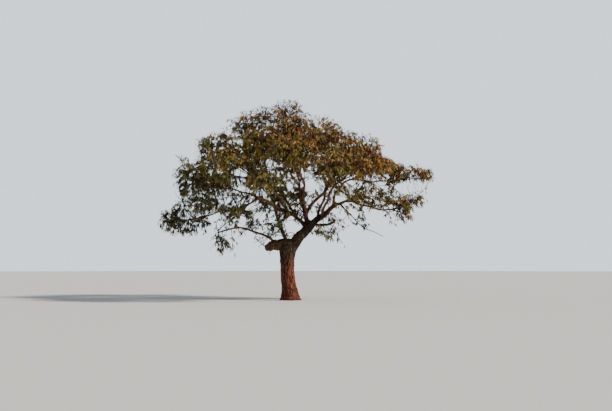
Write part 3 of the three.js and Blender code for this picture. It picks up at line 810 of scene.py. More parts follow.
def tip_space(name, turn, reach, rise, half):
    limb = limbs[name]
    middle = limb.point(1) + compass(turn) * reach + UP * rise
    return Space(limb.point(STEM_FOOT), limb.tangent(1), middle, turn, half)


def side_space(x, y, z, *half):
    """A tuft beside a limb: its stem leaves the nearest spot of the wood."""
    middle = Vector((x, y, z))
    foot, out = min(limb_spots, key=lambda spot: (spot[0] - middle).length)
    return Space(foot, out, middle, math.degrees(math.atan2(y - foot.y, x - foot.x)), half)


limb_spots = []
for name, limb in limbs.items():
    if name not in NO_TUFTS_ON:
        shares = [k / SPOTS_ON_LIMB for k in range(FIRST_SPOT, SPOTS_ON_LIMB + 1)]
        limb_spots += [(limb.point(share), limb.tangent(share)) for share in shares]

tips = [tip_space(*sizes) for sizes in MASSES.values()]
for space in tips:
    for other in tips:
        if other is not space:
            space.wall_to(other)
spaces = tips + [side_space(*sizes) for sizes in side_tufts]
for space in spaces:
    reach = max(space.half)
    space.near = [other for other in spaces if other is not space
                  and (other.middle - space.middle).length < NEIGHBOURHOOD * (max(other.half) + reach)]
neighbours = sum(len(space.near) for space in spaces) / len(spaces)
print("Spaces:", len(spaces), "with", round(neighbours), "neighbours each")

# %% [markdown]
# ## Sky through the crown
# An open crown shows the sky in places, and these gaps are as much its shape as the leaves are. The largest
# are given as ellipses on the upright plane through the trunk, by their middle and half sizes. Wood and
# leaves that would stand in one, along the line of sight from the camera, aren't grown. A slow noise makes
# the gaps' rims uneven. The sky also glints through the whole crown in peepholes a few leaves wide: a finer
# noise keeps those free of leaves, and more of them towards the top.

# %% Gaps in the crown
EYE = Vector((0.504, -30.0, 1.1375))

# x, z, half width, half height, tilt in degrees
SKY_GAPS = [
    (0.62, 3.72, 0.2, 0.24, -30),
    (-1.62, 4.12, 0.22, 0.16, 0),
    (1.87, 3.93, 0.22, 0.1, 35),
    (1.07, 3.25, 0.15, 0.13, 0),
    (1.62, 3.27, 0.16, 0.12, 0),
    (3.87, 3.66, 0.46, 0.14, 0),
    (2.95, 3.8, 0.16, 0.1, 0),
    (-1.3, 3.02, 0.17, 0.1, 0),
    (-0.98, 2.72, 0.15, 0.1, 0),
    (-1.55, 2.62, 0.12, 0.09, 0),
    (-0.95, 3.5, 0.2, 0.11, 0),
    (-0.03, 3.7, 0.11, 0.11, 0),
    (-0.7, 4.46, 0.11, 0.11, 0),
    (-0.02, 2.42, 0.14, 0.24, 20),
    (2.72, 2.78, 0.22, 0.13, 20),
    (-2.66, 1.75, 0.13, 0.26, 0),
    (-3.2, 4.8, 0.2, 0.22, 0),
    (3.4, 4.8, 0.4, 0.16, 0),
    (-3.92, 3.42, 0.26, 0.3, 0),
]
GAP_SEARCH = 0.8
RIM_RAGGEDNESS = 0.5
RIM_WAVES = 5
PEEPHOLE_WAVES = 9.0
PEEPHOLE_LIMIT = 0.17
TOP_OPENING = 0.46
OPEN_FROM = 4.95
CROWN_TOP = 6.5


def seen_at(spot):
    """Where the sight line to a spot meets the upright plane through the trunk."""
    share = EYE.y / (EYE.y - spot.y)
    return EYE.x + (spot.x - EYE.x) * share, EYE.z + (spot.z - EYE.z) * share


def in_a_peephole(spot):
    x, z = seen_at(spot)
    limit = PEEPHOLE_LIMIT - TOP_OPENING * smooth_step(z, OPEN_FROM, CROWN_TOP)
    return noise.noise(Vector((x, z, 0)) * PEEPHOLE_WAVES) > limit


def in_a_gap(spot):
    x, z = seen_at(spot)
    for middle_x, middle_z, half_x, half_z, tilt in SKY_GAPS:
        dx, dz = x - middle_x, z - middle_z
        if abs(dx) > GAP_SEARCH or abs(dz) > GAP_SEARCH:
            continue
        level, steep = math.cos(math.radians(tilt)), math.sin(math.radians(tilt))
        off = ((dx * level + dz * steep) / half_x) ** 2 + ((dz * level - dx * steep) / half_z) ** 2
        if off < 1 + RIM_RAGGEDNESS * noise.noise(Vector((x, z, middle_x)) * RIM_WAVES):
            return True
    return False


print("Gaps that stay open:", len(SKY_GAPS))

# %% [markdown]
# ## How a tuft grows
# From the wood each tuft runs on as a stem. Branches leave the stem and end spread evenly round the space,
# by the golden angle, twigs leave the branches, and leaves hang from the twigs. A particle system would
# scatter leaves with nothing to carry them, so the rule grows them in order, and every leaf has a twig.

# %% The line of a twig
class Twig:
    """A thin stem that bends once: a quadratic Bezier line from start to end."""

    def __init__(self, start, bend, end, radii):
        self.start, self.bend, self.end, self.radii = start, bend, end, radii

    def point(self, share):
        rest = 1 - share
        return self.start * (rest * rest) + self.bend * (2 * rest * share) + self.end * (share * share)

    def tangent(self, share):
        return ((self.bend - self.start) * (1 - share) + (self.end - self.bend) * share).normalized()


def sagging_twig(start, way, length, bend_at, lift, sag, radii):
    """It sets off one way and sags. Where it bends, its lift and its sag are shares of its length."""
    bend = start + way * (bend_at * length) + UP * (lift * length)
    return Twig(start, bend, start + way * length - UP * (sag * length), radii)


def aimed(aim, along, away, rng):
    way = along * aim["along"] + away * aim["outward"] + random_way(rng) * aim["random"]
    return (way - UP * aim["droop"]).normalized()


# %% Stems and branches
STEM_REACH = 0.4
STEM_RADII = (0.02, 0.009)
STEM_FORKS = (0.3, 0.45, 0.6, 0.75, 0.9)
STEM_FOLLOWS = 0.2
STEM_BEND = 0.3
BRANCHES_PER_SQUARE_METRE = 7.5
BRANCH_REACH = (0.5, 1.1)
BRANCH_RADII = (0.011, 0.005)
BRANCH_ARCH = 0.12
BRANCH_WANDER = 0.6
SURFACE_POWER = 1.6


def surface_of(half):
    """An ellipsoid's outer surface, closely."""
    a, b, c = half
    mean = ((a * b) ** SURFACE_POWER + (a * c) ** SURFACE_POWER + (b * c) ** SURFACE_POWER) / 3
    return 4 * math.pi * mean ** (1 / SURFACE_POWER)


def grow_stem(space):
    """The stem first follows the limb that it leaves, then turns into its space."""
    end = space.spot_towards(space.ahead, STEM_REACH)
    aim = end - space.foot
    bend = space.foot + space.out * (STEM_FOLLOWS * aim.length) + aim * STEM_BEND
    return Twig(space.foot, bend, end, STEM_RADII)


def grow_branch(space, stem, k, count, rng):
    """The branch's way out is its own, and it leaves the stem at the fork that is nearest to its end."""
    height = 1 - (2 * k + 1) / count
    level = math.sqrt(1 - height * height)
    roll = k * GOLDEN_ANGLE + rng.random()
    spread = Vector((level * math.cos(roll), level * math.sin(roll), height))
    way = space.outward(spread).normalized()
    end = space.spot_towards(way, BRANCH_REACH[0])
    further = space.middle + way * (rng.uniform(*BRANCH_REACH) * space.reach_along(way))
    if space.in_crown(further):
        end = further
    forks = [spot for spot in map(stem.point, STEM_FORKS) if space.holds(spot)] or [stem.end]
    start = min(forks, key=lambda spot: (spot - end).length)
    way = end - start
    bend = start + way * 0.5 + (UP + random_way(rng) * BRANCH_WANDER) * (BRANCH_ARCH * way.length)
    return Twig(start, bend, end, BRANCH_RADII)


print("Branches in the first tuft:", round(BRANCHES_PER_SQUARE_METRE * surface_of(spaces[0].half)))

# %% Twigs
TWIGS_ON_BRANCH = 12
TWIG_FROM = 0.3
TWIG_LENGTH = (0.18, 0.46)
TWIG_RADII = (0.0055, 0.0025)
TWIG_AIM = {"along": 0.5, "outward": 0.5, "random": 0.9, "droop": 0.1}
TWIG_SHAPE = {"bend_at": 0.55, "lift": 0.0, "sag": 0.16, "radii": TWIG_RADII}
EDGE_FILL = (0.6, 1.7)


def grow_twig(space, branch, share, rng):
    """A twig off a branch, or nothing where it would end outside the crown's soft rim."""
    start = branch.point(share)
    away = (start - space.middle).normalized()
    way = aimed(TWIG_AIM, branch.tangent(share), away, rng)
    twig = sagging_twig(start, way, rng.uniform(*TWIG_LENGTH), **TWIG_SHAPE)
    return twig if space.in_crown(twig.end, rng.uniform(*EDGE_FILL)) else None


print("Twigs are", TWIG_LENGTH, "m long and", TWIG_RADII, "m in radius")

# %% [markdown]
# ## Tints by spray
# The leaves turn unevenly: low and left they are still olive, and towards the top and the right they pass
# through ochre to rust. One spray has one tint, as on the real tree, where a twig's leaves turn together.
# The tints are plain colours on pieces of their own, since a pattern over thousands of leaves would be lost
# when the model is baked. The dark brown sprays are dead leaves and also painted shade inside the crown.

# %% The tints
# tint: base colour, the record's slot
TINTS = {
    "dark_olive": ((0.045, 0.048, 0.012), "leaves_olive"),
    "olive": ((0.13, 0.12, 0.022), "leaves_olive"),
    "yellow_green": ((0.22, 0.19, 0.03), "leaves_olive"),
    "ochre": ((0.29, 0.18, 0.028), "leaves_ochre"),
    "gold": ((0.41, 0.22, 0.032), "leaves_ochre"),
    "orange_brown": ((0.39, 0.14, 0.032), "leaves_rust"),
    "rust": ((0.33, 0.095, 0.042), "leaves_rust"),
    # dead leaves, and painted shade for sprays deep in the crown
    "dead_and_shaded_brown": ((0.045, 0.022, 0.012), "leaves_rust"),
}
TINT_MIDDLE = 4.3
TINT_HEIGHT = 3.1
TINT_SIDE = 8.0
TINT_SHIFT = 0.1
TINT_SCATTER = 0.56
# the share of sprays painted dark brown as shade, smaller at the top, where more light falls
SHADED_BROWN_SHARE = 0.22
SHADED_BROWN_SHARE_AT_TOP = 0.1
SHADED_BROWN_FADES_FROM = 4.5
TINT_STEPS = ((-0.9, "dark_olive"), (-0.2, "olive"), (0.2, "yellow_green"), (0.52, "ochre"),
              (0.8, "gold"), (1.25, "orange_brown"))
leaf_places = {tint: [] for tint in TINTS}


def tint_of(spot, rng):
    """Some sprays are dark brown: dead leaves, and painted shade inside the crown, which thins towards the
    top, where more light falls. The others turn with height and towards the right.
    """
    high = smooth_step(spot.z, SHADED_BROWN_FADES_FROM, CROWN_TOP)
    if rng.random() < SHADED_BROWN_SHARE + (SHADED_BROWN_SHARE_AT_TOP - SHADED_BROWN_SHARE) * high:
        return "dead_and_shaded_brown"
    warmth = (spot.z - TINT_MIDDLE) / TINT_HEIGHT + spot.x / TINT_SIDE + rng.gauss(TINT_SHIFT, TINT_SCATTER)
    return next((tint for limit, tint in TINT_STEPS if warmth < limit), "rust")


print("Tints:", ", ".join(TINTS))

# %% Leaves along a twig
LEAF_LENGTH = (0.08, 0.145)
LEAF_WIDTH_SHARE = (0.21, 0.3)
LEAVES_ON_TWIG = (5, 8)
LEAVES_FROM = 0.12
LEAF_SPACING_NOISE = 0.6
LEAF_AIM = {"along": 0.3, "outward": 0.2, "random": 0.75, "droop": 1.0}
LEAF_TILT = 1.6


def hang_leaves(twig, away, rng):
    """Leaves along a twig, drooping, with one tint for them all."""
    tint = tint_of(twig.end, rng)
    count = rng.randint(*LEAVES_ON_TWIG)
    for k in range(count):
        share = LEAVES_FROM + (1 - LEAVES_FROM) * (k + rng.random() * LEAF_SPACING_NOISE) / count
        root = twig.point(share)
        way = aimed(LEAF_AIM, twig.tangent(share), away, rng)
        length = rng.uniform(*LEAF_LENGTH)
        width = length * rng.uniform(*LEAF_WIDTH_SHARE)
        flat = (random_way(rng) * LEAF_TILT + away).normalized()
        tip = root + way * length
        if not within_reach(tip) or in_a_peephole((root + tip) / 2) or in_a_gap(tip) or in_a_gap(root):
            continue
        across = flat.cross(way).normalized()
        leaf_places[tint].append((*root, *(way * length), *(across * width), *(way.cross(across) * length)))


# %% Grow every tuft
stems, branches, twigs = [], [], []
for order, space in enumerate(spaces):
    rng = random.Random(order + 1)
    stem = grow_stem(space)
    stems.append(stem)
    branch_count = round(BRANCHES_PER_SQUARE_METRE * surface_of(space.half))
    for k in range(branch_count):
        branch = grow_branch(space, stem, k, branch_count, rng)
        if in_a_gap(branch.point(0.5)) and in_a_gap(branch.end):
            continue
        branches.append(branch)
        for j in range(TWIGS_ON_BRANCH):
            share = TWIG_FROM + (1 - TWIG_FROM) * (j + rng.random()) / TWIGS_ON_BRANCH
            twig = grow_twig(space, branch, share, rng)
            if twig and not in_a_gap(twig.end):
                twigs.append(twig)
                hang_leaves(twig, (twig.end - space.middle).normalized(), rng)
print("Stems:", len(stems), "branches:", len(branches), "twigs:", len(twigs),
      "leaves:", sum(len(places) for places in leaf_places.values()))

# %% [markdown]
# ## Sprays along the boughs
# Inside the crown short leafy shoots stand straight on the boughs. They fill the tree's inner crown thinly,
# so the boughs still show through them. Each row of shoots is given by its limb, the stretch of it that
# carries shoots, and how many there are.

# %% Shoots on the limbs
# limb, from share, to share, shoots
SHOOTS = [
    ("left_inner", 0.03, 0.35, 18), ("left_inner", 0.3, 0.95, 22), ("left_top", 0.1, 0.95, 12),
    ("left_high", 0.25, 0.95, 18), ("left_drop", 0.2, 0.9, 6), ("left_far", 0.1, 0.95, 16),
    ("left_mid", 0.1, 0.95, 14), ("left_low", 0.45, 0.95, 10),
    ("crown_stem", 0.5, 0.95, 6), ("centre_high", 0.08, 0.95, 26), ("upper_right", 0.15, 0.95, 20),
    ("leader", 0.55, 0.95, 5), ("right_fan", 0.15, 0.95, 16), ("right_high", 0.1, 0.95, 18),
    ("right_elbow", 0.3, 0.95, 6), ("right_reach", 0.05, 0.95, 20), ("right_stub", 0.3, 0.95, 9),
    ("bare_twig", 0.4, 0.6, 4), ("front_left", 0.35, 0.95, 14), ("front_mid", 0.35, 0.95, 16),
    ("front_right", 0.35, 0.95, 14), ("back_left", 0.3, 0.95, 18), ("back_mid", 0.3, 0.95, 18),
    ("back_right", 0.3, 0.95, 18),
]
SHOOT_SEED = 77
SHOOT_LENGTH = (0.25, 0.85)
SHORT_ON_BARE_TWIG = 0.3
SHOOT_ROOT = 0.6
SHOOT_AIM = {"along": 0.5, "outward": 0.9, "random": 0.5, "droop": 0.05}
SHOOT_SHAPE = {"bend_at": 0.5, "lift": 0.08, "sag": 0.1, "radii": BRANCH_RADII}
SIDE_TWIGS = 5
SIDE_TWIGS_FROM = 0.35
SIDE_TWIG_LENGTH = (0.1, 0.24)
SIDE_TWIG_SHAPE = {"bend_at": 0.5, "lift": 0.0, "sag": 0.2, "radii": TWIG_RADII}


def grow_shoot(limb, share, size, rng):
    """A shoot that stands out from a limb, and the way that it sets off."""
    roll = rng.uniform(0, 2 * math.pi)
    ahead = limb.tangent(share)
    side = ahead.orthogonal().normalized()
    out = side * math.cos(roll) + ahead.cross(side) * math.sin(roll)
    way = aimed(SHOOT_AIM, ahead, out, rng)
    start = limb.point(share) + out * (SHOOT_ROOT * limb.radius(share))
    return sagging_twig(start, way, rng.uniform(*SHOOT_LENGTH) * size, **SHOOT_SHAPE), way


def leaf_out(shoot, way, rng):
    """Short leafy twigs along a shoot."""
    for j in range(SIDE_TWIGS):
        away = (random_way(rng) + way).normalized()
        length = rng.uniform(*SIDE_TWIG_LENGTH)
        start = shoot.point(SIDE_TWIGS_FROM + (1 - SIDE_TWIGS_FROM) * j / (SIDE_TWIGS - 1))
        twig = sagging_twig(start, away, length, **SIDE_TWIG_SHAPE)
        twigs.append(twig)
        hang_leaves(twig, away, rng)


rng = random.Random(SHOOT_SEED)
shoot_count = 0
for name, low, high, count in SHOOTS:
    size = SHORT_ON_BARE_TWIG if name == "bare_twig" else 1
    for k in range(count):
        share = low + (high - low) * (k + rng.random()) / count
        shoot, way = grow_shoot(limbs[name], share, size, rng)
        if in_a_gap(shoot.end) or in_a_gap(shoot.point(0.5)):
            continue
        branches.append(shoot)
        shoot_count += 1
        leaf_out(shoot, way, rng)
print("Shoots:", shoot_count, "leaves now:", sum(len(places) for places in leaf_places.values()))

# %% [markdown]
# ## A bare arch at the fork
# One thin leafless stem arches low over the fork, from the inner left bough to the fork limb. It has no
# solid of its own, and is laid out with the tufts' stems.

# %% The bare arch
ARCH_FROM = limbs["left_inner"].point(0.1)
ARCH_BEND = Vector((0.0, -0.04, 2.36))
ARCH_TO = limbs["fork_limb"].point(0.5)
ARCH_RADII = (0.014, 0.01)

stems.append(Twig(ARCH_FROM, ARCH_BEND, ARCH_TO, ARCH_RADII))
print("The arch spans", round((ARCH_TO - ARCH_FROM).length, 2), "m")

# %% [markdown]
# ## Many small things as one mesh
# Thousands of leaves as objects would be slow, and instances are dropped when the model is exported. So one
# leaf and one length of tube are modelled once, with operators, and their vertices are laid out for all
# places at once with arrays. The joined mesh holds every copy for real.

# %% One leaf, laid out many times
LEAF_STATIONS = (0.0, 0.3, 0.68, 1.0)
LEAF_WIDEST = 0.42
LEAF_DROOP = 0.2
LEAF_FOLD = 0.105
WELD_DISTANCE = 1e-4


def model_leaf():
    """A lance-shaped blade along +X, one metre long and wide, folded along its rib and drooping."""
    bm = bmesh.new()
    last = len(LEAF_STATIONS) - 1
    bmesh.ops.create_grid(bm, x_segments=last, y_segments=2, size=0.5)
    bulge = math.log(0.5) / math.log(LEAF_WIDEST)  # this power puts the blade's greatest width there
    for vert in bm.verts:
        x = LEAF_STATIONS[round((vert.co.x + 0.5) * last)]
        y = vert.co.y * math.sin(math.pi * x**bulge)
        vert.co = (x, y, -LEAF_DROOP * x * x)
        vert.co.z += LEAF_FOLD * abs(y)
    bmesh.ops.remove_doubles(bm, verts=bm.verts[:], dist=WELD_DISTANCE)
    bmesh.ops.triangulate(bm, faces=bm.faces[:])
    return bm


def as_arrays(bm):
    bm.verts.index_update()
    spots = np.array([vert.co for vert in bm.verts])
    faces = np.array([[vert.index for vert in face.verts] for face in bm.faces])
    bm.free()
    return spots, faces


def joined_piece(name, spots, faces):
    """spots is copies x points x 3, and faces the corners of one copy."""
    copies, points = spots.shape[:2]
    corners = (faces[None] + (np.arange(copies) * points)[:, None, None]).reshape(-1, faces.shape[1])
    mesh = bpy.data.meshes.new(name)
    mesh.from_pydata(spots.reshape(-1, 3), [], corners)
    return new_object(name, mesh)


leaf_spots, leaf_faces = as_arrays(model_leaf())


def leaves_piece(name, places):
    """Each place is a root, the way along the leaf, the way across it and the way up from it."""
    table = np.array(places).reshape(-1, 4, 3)
    root, along, across, lift = (table[:, i, None, :] for i in range(4))
    x, y, z = (leaf_spots[None, :, i : i + 1] for i in range(3))
    return joined_piece(name, root + along * x + across * y + lift * z, leaf_faces)


print("One leaf:", len(leaf_spots), "points,", len(leaf_faces), "faces")

# %% One length of tube, laid out many times
STEEP = 0.9


def model_tube(sides, rings):
    """A round tube along +X, one metre long and one in radius."""
    bm = bmesh.new()
    turned = [Matrix.Translation((i / rings, 0, 0)) @ Matrix.Rotation(math.pi / 2, 4, "Y")
              for i in range(rings + 1)]
    sweep_rings(bm, turned, [1] * (rings + 1), sides)
    settle(bm)
    bmesh.ops.triangulate(bm, faces=bm.faces[:])
    bmesh.ops.recalc_face_normals(bm, faces=bm.faces[:])
    return bm


def twigs_piece(name, grown, sides, rings):
    """The tube follows every twig's line and tapers with its radii."""
    spots, faces = as_arrays(model_tube(sides, rings))
    share, y, z = (spots[None, :, i : i + 1] for i in range(3))
    lines = np.array([(twig.start, twig.bend, twig.end) for twig in grown])
    start, bend, end = (lines[:, None, i] for i in range(3))
    middle = start * (1 - share) ** 2 + bend * (2 * share * (1 - share)) + end * share**2
    ahead = (bend - start) * (1 - share) + (end - bend) * share
    ahead /= np.linalg.norm(ahead, axis=2, keepdims=True)
    steep = np.abs(ahead[:, :1, 2:]) > STEEP
    helper = np.where(steep, [1.0, 0, 0], [0, 0, 1.0])
    side = np.cross(np.broadcast_to(helper, ahead.shape), ahead)
    side /= np.linalg.norm(side, axis=2, keepdims=True)
    radii = np.array([twig.radii for twig in grown])[:, None]
    radius = radii[..., :1] * (1 - share) + radii[..., 1:] * share
    return joined_piece(name, middle + radius * (side * y + np.cross(ahead, side) * z), faces)


# %% [markdown]
# ## Bark and leaf finishes
# Bark is rough, and its colour follows its relief: dark in the furrows, paler on the worn plates. The furrow
# pattern and the patches are node groups, built once and used by both barks with their own sizes. On the
# trunk the patches are grey. On the boughs they are light brown painted sunlight, and the bough bark's
# plates are painted paler than its own colour, as sunlight on the shaded inner boughs.
# The pattern reads the grain that was stored on the mesh, so it runs along every bough, and the bump adds the
# fine cracks that the mesh is too coarse for.

# %% Helpers for materials
def feed(node, values):
    """An input takes a number, a colour without its alpha, or a link from another node's socket."""
    for key, value in values.items():
        if isinstance(value, bpy.types.NodeSocket):
            node.id_data.links.new(value, node.inputs[key])
        elif isinstance(value, tuple):
            node.inputs[key].default_value = (*value, 1)
        else:
            node.inputs[key].default_value = value


def add_node(tree, kind, values=None, **settings):
    node = tree.nodes.new(kind)
    for key, value in settings.items():
        setattr(node, key, value)
    feed(node, values or {})
    return node


def math_node(tree, operation, first, second):
    return add_node(tree, "ShaderNodeMath", {0: first, 1: second}, operation=operation).outputs[0]


def mix_colours(tree, share, first, second):
    colours = {0: share, 6: first, 7: second}
    return add_node(tree, "ShaderNodeMix", colours, data_type="RGBA").outputs[2]


def ramp(tree, value, low, high):
    limits = {"Value": value, "From Min": low, "From Max": high}
    return add_node(tree, "ShaderNodeMapRange", limits, interpolation_type="SMOOTHSTEP").outputs["Result"]


def noise_at(tree, vector, scale, detail, roughness):
    values = {"Vector": vector, "Scale": scale, "Detail": detail, "Roughness": roughness}
    return add_node(tree, "ShaderNodeTexNoise", values)


def new_group(name, inputs, outputs):
    """A node group whose sockets are given by name and kind."""
    tree = bpy.data.node_groups.new(name, "ShaderNodeTree")
    for in_out, sockets in (("INPUT", inputs), ("OUTPUT", outputs)):
        for socket, kind in sockets.items():
            tree.interface.new_socket(socket, in_out=in_out, socket_type=kind)
    return tree, tree.nodes.new("NodeGroupInput").outputs, tree.nodes.new("NodeGroupOutput")


def new_material(name):
    material = bpy.data.materials.new(name)
    material.use_nodes = True
    return material, material.node_tree, material.node_tree.nodes["Principled BSDF"]


# %% The furrow group
WARP_WAVES = 24.0
WARP_SHIFT = 0.022
PLATE_EDGE = (0.02, 0.22)
GRIT_PER_METRE = 160.0
PLATE_HEIGHT = 0.65
GRIT_HEIGHT = 0.5

furrows, given, result = new_group(
    "bark furrows",
    {"Grain": "NodeSocketVector", "Plates per metre": "NodeSocketFloat"},
    {"Plate": "NodeSocketFloat", "Height": "NodeSocketFloat"},
)
grain = given["Grain"]
warp = noise_at(furrows, grain, WARP_WAVES, 3.0, 0.55)
swing = {0: warp.outputs["Color"], "Scale": WARP_SHIFT}
shift = add_node(furrows, "ShaderNodeVectorMath", swing, operation="SCALE")
moved = add_node(furrows, "ShaderNodeVectorMath", {0: grain, 1: shift.outputs[0]}, operation="ADD")
sizes = {"Vector": moved.outputs[0], "Scale": given["Plates per metre"]}
cells = add_node(furrows, "ShaderNodeTexVoronoi", sizes, feature="DISTANCE_TO_EDGE")
plate = ramp(furrows, cells.outputs["Distance"], *PLATE_EDGE)
grit = noise_at(furrows, grain, GRIT_PER_METRE, 5.0, 0.65)
plate_part = math_node(furrows, "MULTIPLY", plate, PLATE_HEIGHT)
grit_part = math_node(furrows, "MULTIPLY", grit.outputs["Fac"], GRIT_HEIGHT)
height = math_node(furrows, "ADD", plate_part, grit_part)
feed(result, {"Plate": plate, "Height": height})
print("Furrow group:", len(furrows.nodes), "nodes")

# %% The patch group
PATCH_EDGE = (0.52, 0.66)
MOTTLE_WAVES = 38.0

patches, given, result = new_group(
    "patches",
    {"Place": "NodeSocketVector", "Patches per metre": "NodeSocketFloat"},
    {"Mask": "NodeSocketFloat", "Mottle": "NodeSocketFloat"},
)
cloud = noise_at(patches, given["Place"], given["Patches per metre"], 6.0, 0.6)
mottle = noise_at(patches, given["Place"], MOTTLE_WAVES, 4.0, 0.6)
mask = ramp(patches, cloud.outputs["Fac"], *PATCH_EDGE)
feed(result, {"Mask": mask, "Mottle": mottle.outputs["Fac"]})
print("Patch group:", len(patches.nodes), "nodes")

# %% The bark's material
WORN_EDGE = (0.4, 0.66)
HEIGHT_RAGGEDNESS = 0.9
FURROW_ROUGHNESS = 0.98
PLATE_SMOOTHNESS = 0.12
BARK_SPECULAR = 0.25
BUMP_STRENGTH = 0.7
BUMP_DISTANCE = 0.012


def bark_material(name, plates, colours, patch_scale, patch_colour, patch_strength, higher=(), burl=None):
    """colours are (furrow, plate, worn plate). Each of higher takes over between two heights, and burl on the
    stump."""
    material, tree, shader = new_material(name)
    grain = add_node(tree, "ShaderNodeAttribute", attribute_name="grain").outputs["Vector"]
    place = add_node(tree, "ShaderNodeTexCoord").outputs["Object"]
    sizes = {"Grain": grain, "Plates per metre": plates}
    furrow = add_node(tree, "ShaderNodeGroup", sizes, node_tree=furrows).outputs
    sizes = {"Place": place, "Patches per metre": patch_scale}
    patch = add_node(tree, "ShaderNodeGroup", sizes, node_tree=patches).outputs

    def layered(furrow_colour, plate_colour, worn_colour):
        mottled = mix_colours(tree, ramp(tree, patch["Mottle"], *WORN_EDGE), plate_colour, worn_colour)
        return mix_colours(tree, furrow["Plate"], furrow_colour, mottled)

    colour = layered(*colours)
    height = add_node(tree, "ShaderNodeSeparateXYZ", {0: place}).outputs["Z"]
    uneven = math_node(tree, "MULTIPLY", patch["Mottle"], HEIGHT_RAGGEDNESS)
    ragged = math_node(tree, "ADD", height, uneven)
    for low, high, above in higher:
        colour = mix_colours(tree, ramp(tree, ragged, low, high), colour, layered(*above))
    if burl:
        on_burl = add_node(tree, "ShaderNodeAttribute", attribute_name="burl").outputs["Fac"]
        colour = mix_colours(tree, on_burl, colour, layered(*burl))
    patched = math_node(tree, "MULTIPLY", patch["Mask"], patch_strength)
    smoothness = math_node(tree, "MULTIPLY", furrow["Plate"], PLATE_SMOOTHNESS)
    sizes = {"Strength": BUMP_STRENGTH, "Distance": BUMP_DISTANCE, "Height": furrow["Height"]}
    feed(shader, {
        "Base Color": mix_colours(tree, patched, colour, patch_colour),
        "Roughness": math_node(tree, "SUBTRACT", FURROW_ROUGHNESS, smoothness),
        "Specular IOR Level": BARK_SPECULAR,
        "Normal": add_node(tree, "ShaderNodeBump", sizes).outputs["Normal"],
    })
    return material


# %% The barks
RUST_BARK = ((0.02, 0.006, 0.004), (0.125, 0.03, 0.016), (0.40, 0.125, 0.062))
BURL_BARK = ((0.010, 0.004, 0.003), (0.11, 0.038, 0.02), (0.36, 0.19, 0.10))
GREY_BARK = ((0.013, 0.008, 0.005), (0.06, 0.037, 0.02), (0.13, 0.085, 0.045))
# painted shade: near-black bark round the second fork, where the crown's shadow falls on the wood
FORK_SHADE_BARK = ((0.007, 0.004, 0.003), (0.024, 0.014, 0.009), (0.10, 0.052, 0.028))
# reddish-brown bough bark, with its plates painted paler than the bark's own colour as sunlight on the shaded
# inner boughs
BOUGH_BARK_AND_PAINTED_SUN = ((0.018, 0.008, 0.005), (0.13, 0.056, 0.032), (0.46, 0.2, 0.1))

trunk_bark = bark_material(
    "furrowed trunk bark", plates=26.0, colours=RUST_BARK,
    patch_scale=3.5, patch_colour=(0.17, 0.12, 0.07), patch_strength=0.22,
    # Higher up, the trunk piece turns grey, then near-black as painted shade under the crown, then into the
    # bough bark with its painted sun.
    higher=((1.45, 2.0, GREY_BARK), (2.55, 2.9, FORK_SHADE_BARK), (3.1, 3.4, BOUGH_BARK_AND_PAINTED_SUN)), burl=BURL_BARK,
)
bough_bark = bark_material(
    "bough bark", plates=44.0, colours=BOUGH_BARK_AND_PAINTED_SUN,
    # the light brown patches on the boughs are painted sunlit stretches
    patch_scale=6.0, patch_colour=(0.34, 0.18, 0.1), patch_strength=0.35,
)
print("Barks:", [(bark.name, len(bark.node_tree.nodes)) for bark in (trunk_bark, bough_bark)])

# %% Plain finishes
TWIG_COLOUR = (0.05, 0.025, 0.016)
TWIG_ROUGHNESS = 0.85
LEAF_ROUGHNESS = 0.55


def plain_material(name, colour, roughness, specular=0.3):
    material, _, shader = new_material(name)
    feed(shader, {"Base Color": colour, "Roughness": roughness, "Specular IOR Level": specular})
    return material


twig_bark = plain_material("twig bark", TWIG_COLOUR, TWIG_ROUGHNESS)

# %% [markdown]
# ## Every piece takes its place
# The wood and the leaves stand for the CAD solids, which are then hidden and stay for collision. Each piece
# rides on the one body, as a tree has no joints, and each leaf tint hides the solids of the record's slot
# that it stands for. The twigs are two pieces, so that neither is too heavy.

# %% Dress the wood
STEM_TUBE = {"sides": 7, "rings": 8}
BRANCH_TUBE = {"sides": 4, "rings": 4}
TWIG_TUBE = {"sides": 3, "rings": 2}


def finish_piece(piece, material, nodes=(), smooth=True):
    piece.data.materials.clear()
    piece.data.materials.append(material)
    piece.data.polygons.foreach_set("use_smooth", [smooth] * len(piece.data.polygons))
    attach(piece, "root")
    if nodes:
        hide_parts(*nodes)
    print(piece.name, "-", len(piece.data.polygons), "faces")


left_twigs = [twig for twig in twigs if twig.start.x < 0]
right_twigs = [twig for twig in twigs if twig.start.x >= 0]
finish_piece(trunk_piece, trunk_bark, TRUNK_LIMBS)
finish_piece(bough_piece, bough_bark, BOUGH_LIMBS)
finish_piece(bare_piece, twig_bark, ["bare_twig"])
finish_piece(twigs_piece("tuft_stems", stems, **STEM_TUBE), twig_bark, list(MASSES))
finish_piece(twigs_piece("tuft_branches", branches, **BRANCH_TUBE), twig_bark)
finish_piece(twigs_piece("tuft_twigs_left", left_twigs, **TWIG_TUBE), twig_bark)
finish_piece(twigs_piece("tuft_twigs_right", right_twigs, **TWIG_TUBE), twig_bark)

# %% Leaves by tint
slot_nodes = {}
for row in frame["record"]["subparts"]:
    slot_nodes.setdefault(row["material_slot"], []).append(row["node"])
for tint, (colour, slot) in TINTS.items():
    leaf = plain_material("leaf " + tint.replace("_", " "), colour, LEAF_ROUGHNESS)
    piece = leaves_piece("leaves_" + tint, leaf_places[tint])
    finish_piece(piece, leaf, slot_nodes[slot], smooth=False)

# %% [markdown]
# ## Floor, light and camera
# The tree stands on a plain pale floor under soft light that comes from the right, as in the photograph. The
# camera is low, at the height of a crouching photographer, thirty metres off, and tilted up a little so that
# the tree sits where the photograph has it.

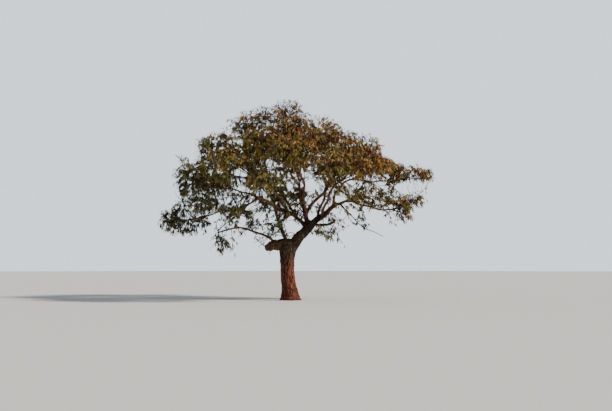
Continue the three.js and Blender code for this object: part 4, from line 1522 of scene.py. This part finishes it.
# %% Floor and key light
FLOOR_RADIUS = 150.0
FLOOR_SIDES = 96
FLOOR_COLOUR = (0.72, 0.7, 0.67)
FLOOR_ROUGHNESS = 0.95
FLOOR_SPECULAR = 0.1
KEY_COLOUR = (1.0, 0.95, 0.86)
KEY_STRENGTH = 5.1
KEY_SOFTNESS = 8
KEY_FROM = Vector((0.92, -0.34, 0.66))

bm = bmesh.new()
bmesh.ops.create_circle(bm, cap_ends=True, radius=FLOOR_RADIUS, segments=FLOOR_SIDES)
floor = mesh_piece("floor", bm)
floor.data.materials.append(plain_material("pale floor", FLOOR_COLOUR, FLOOR_ROUGHNESS, FLOOR_SPECULAR))
floor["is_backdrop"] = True

key = new_object("key light", bpy.data.lights.new("key light", "SUN"))
key.data.energy = KEY_STRENGTH
key.data.angle = math.radians(KEY_SOFTNESS)
key.data.color = KEY_COLOUR
key.rotation_euler = KEY_FROM.to_track_quat("Z", "Y").to_euler()
print("Key light from the right, at", round(math.degrees(KEY_FROM.angle(UP))), "degrees off the vertical")

# %% Backdrop and fill light
BACKDROP_COLOUR = (0.8, 0.9, 0.96)
BACKDROP_STRENGTH = 1.5
FILL_COLOUR = (0.8, 0.9, 1.0)
FILL_STRENGTH = 0.42

world = bpy.data.worlds.new("pale backdrop")
world.use_nodes = True
tree = world.node_tree
fill = tree.nodes["Background"]
feed(fill, {"Color": FILL_COLOUR, "Strength": FILL_STRENGTH})
backdrop = add_node(tree, "ShaderNodeBackground", {"Color": BACKDROP_COLOUR, "Strength": BACKDROP_STRENGTH})
seen = add_node(tree, "ShaderNodeLightPath").outputs["Is Camera Ray"]
chosen = add_node(tree, "ShaderNodeMixShader", {0: seen, 1: fill.outputs[0], 2: backdrop.outputs[0]})
feed(tree.nodes["World Output"], {"Surface": chosen.outputs[0]})
bpy.context.scene.world = world
print("Fill light of", FILL_STRENGTH, "and a backdrop of", BACKDROP_STRENGTH)

# %% Camera
CAMERA_TILT = 3.69
VIEW_WIDTH = 19.89
SENSOR_WIDTH = 36
FAR_CLIP = 1000

camera = new_object("camera", bpy.data.cameras.new("camera"))
camera.location = EYE
camera.rotation_euler = (math.radians(90 + CAMERA_TILT), 0, 0)
camera.data.sensor_width = SENSOR_WIDTH
camera.data.lens = SENSOR_WIDTH * abs(EYE.y) / VIEW_WIDTH
camera.data.clip_end = FAR_CLIP
bpy.context.scene.camera = camera
print("Lens:", round(camera.data.lens, 1), "mm")

# %% Measure and finish
low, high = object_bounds()
sizes = {"cad": [list(CAD_LOW), list(CAD_HIGH)], "visual": [list(low), list(high)]}
print("Visual box in metres:", [round(b - a, 3) for a, b in zip(low, high)])
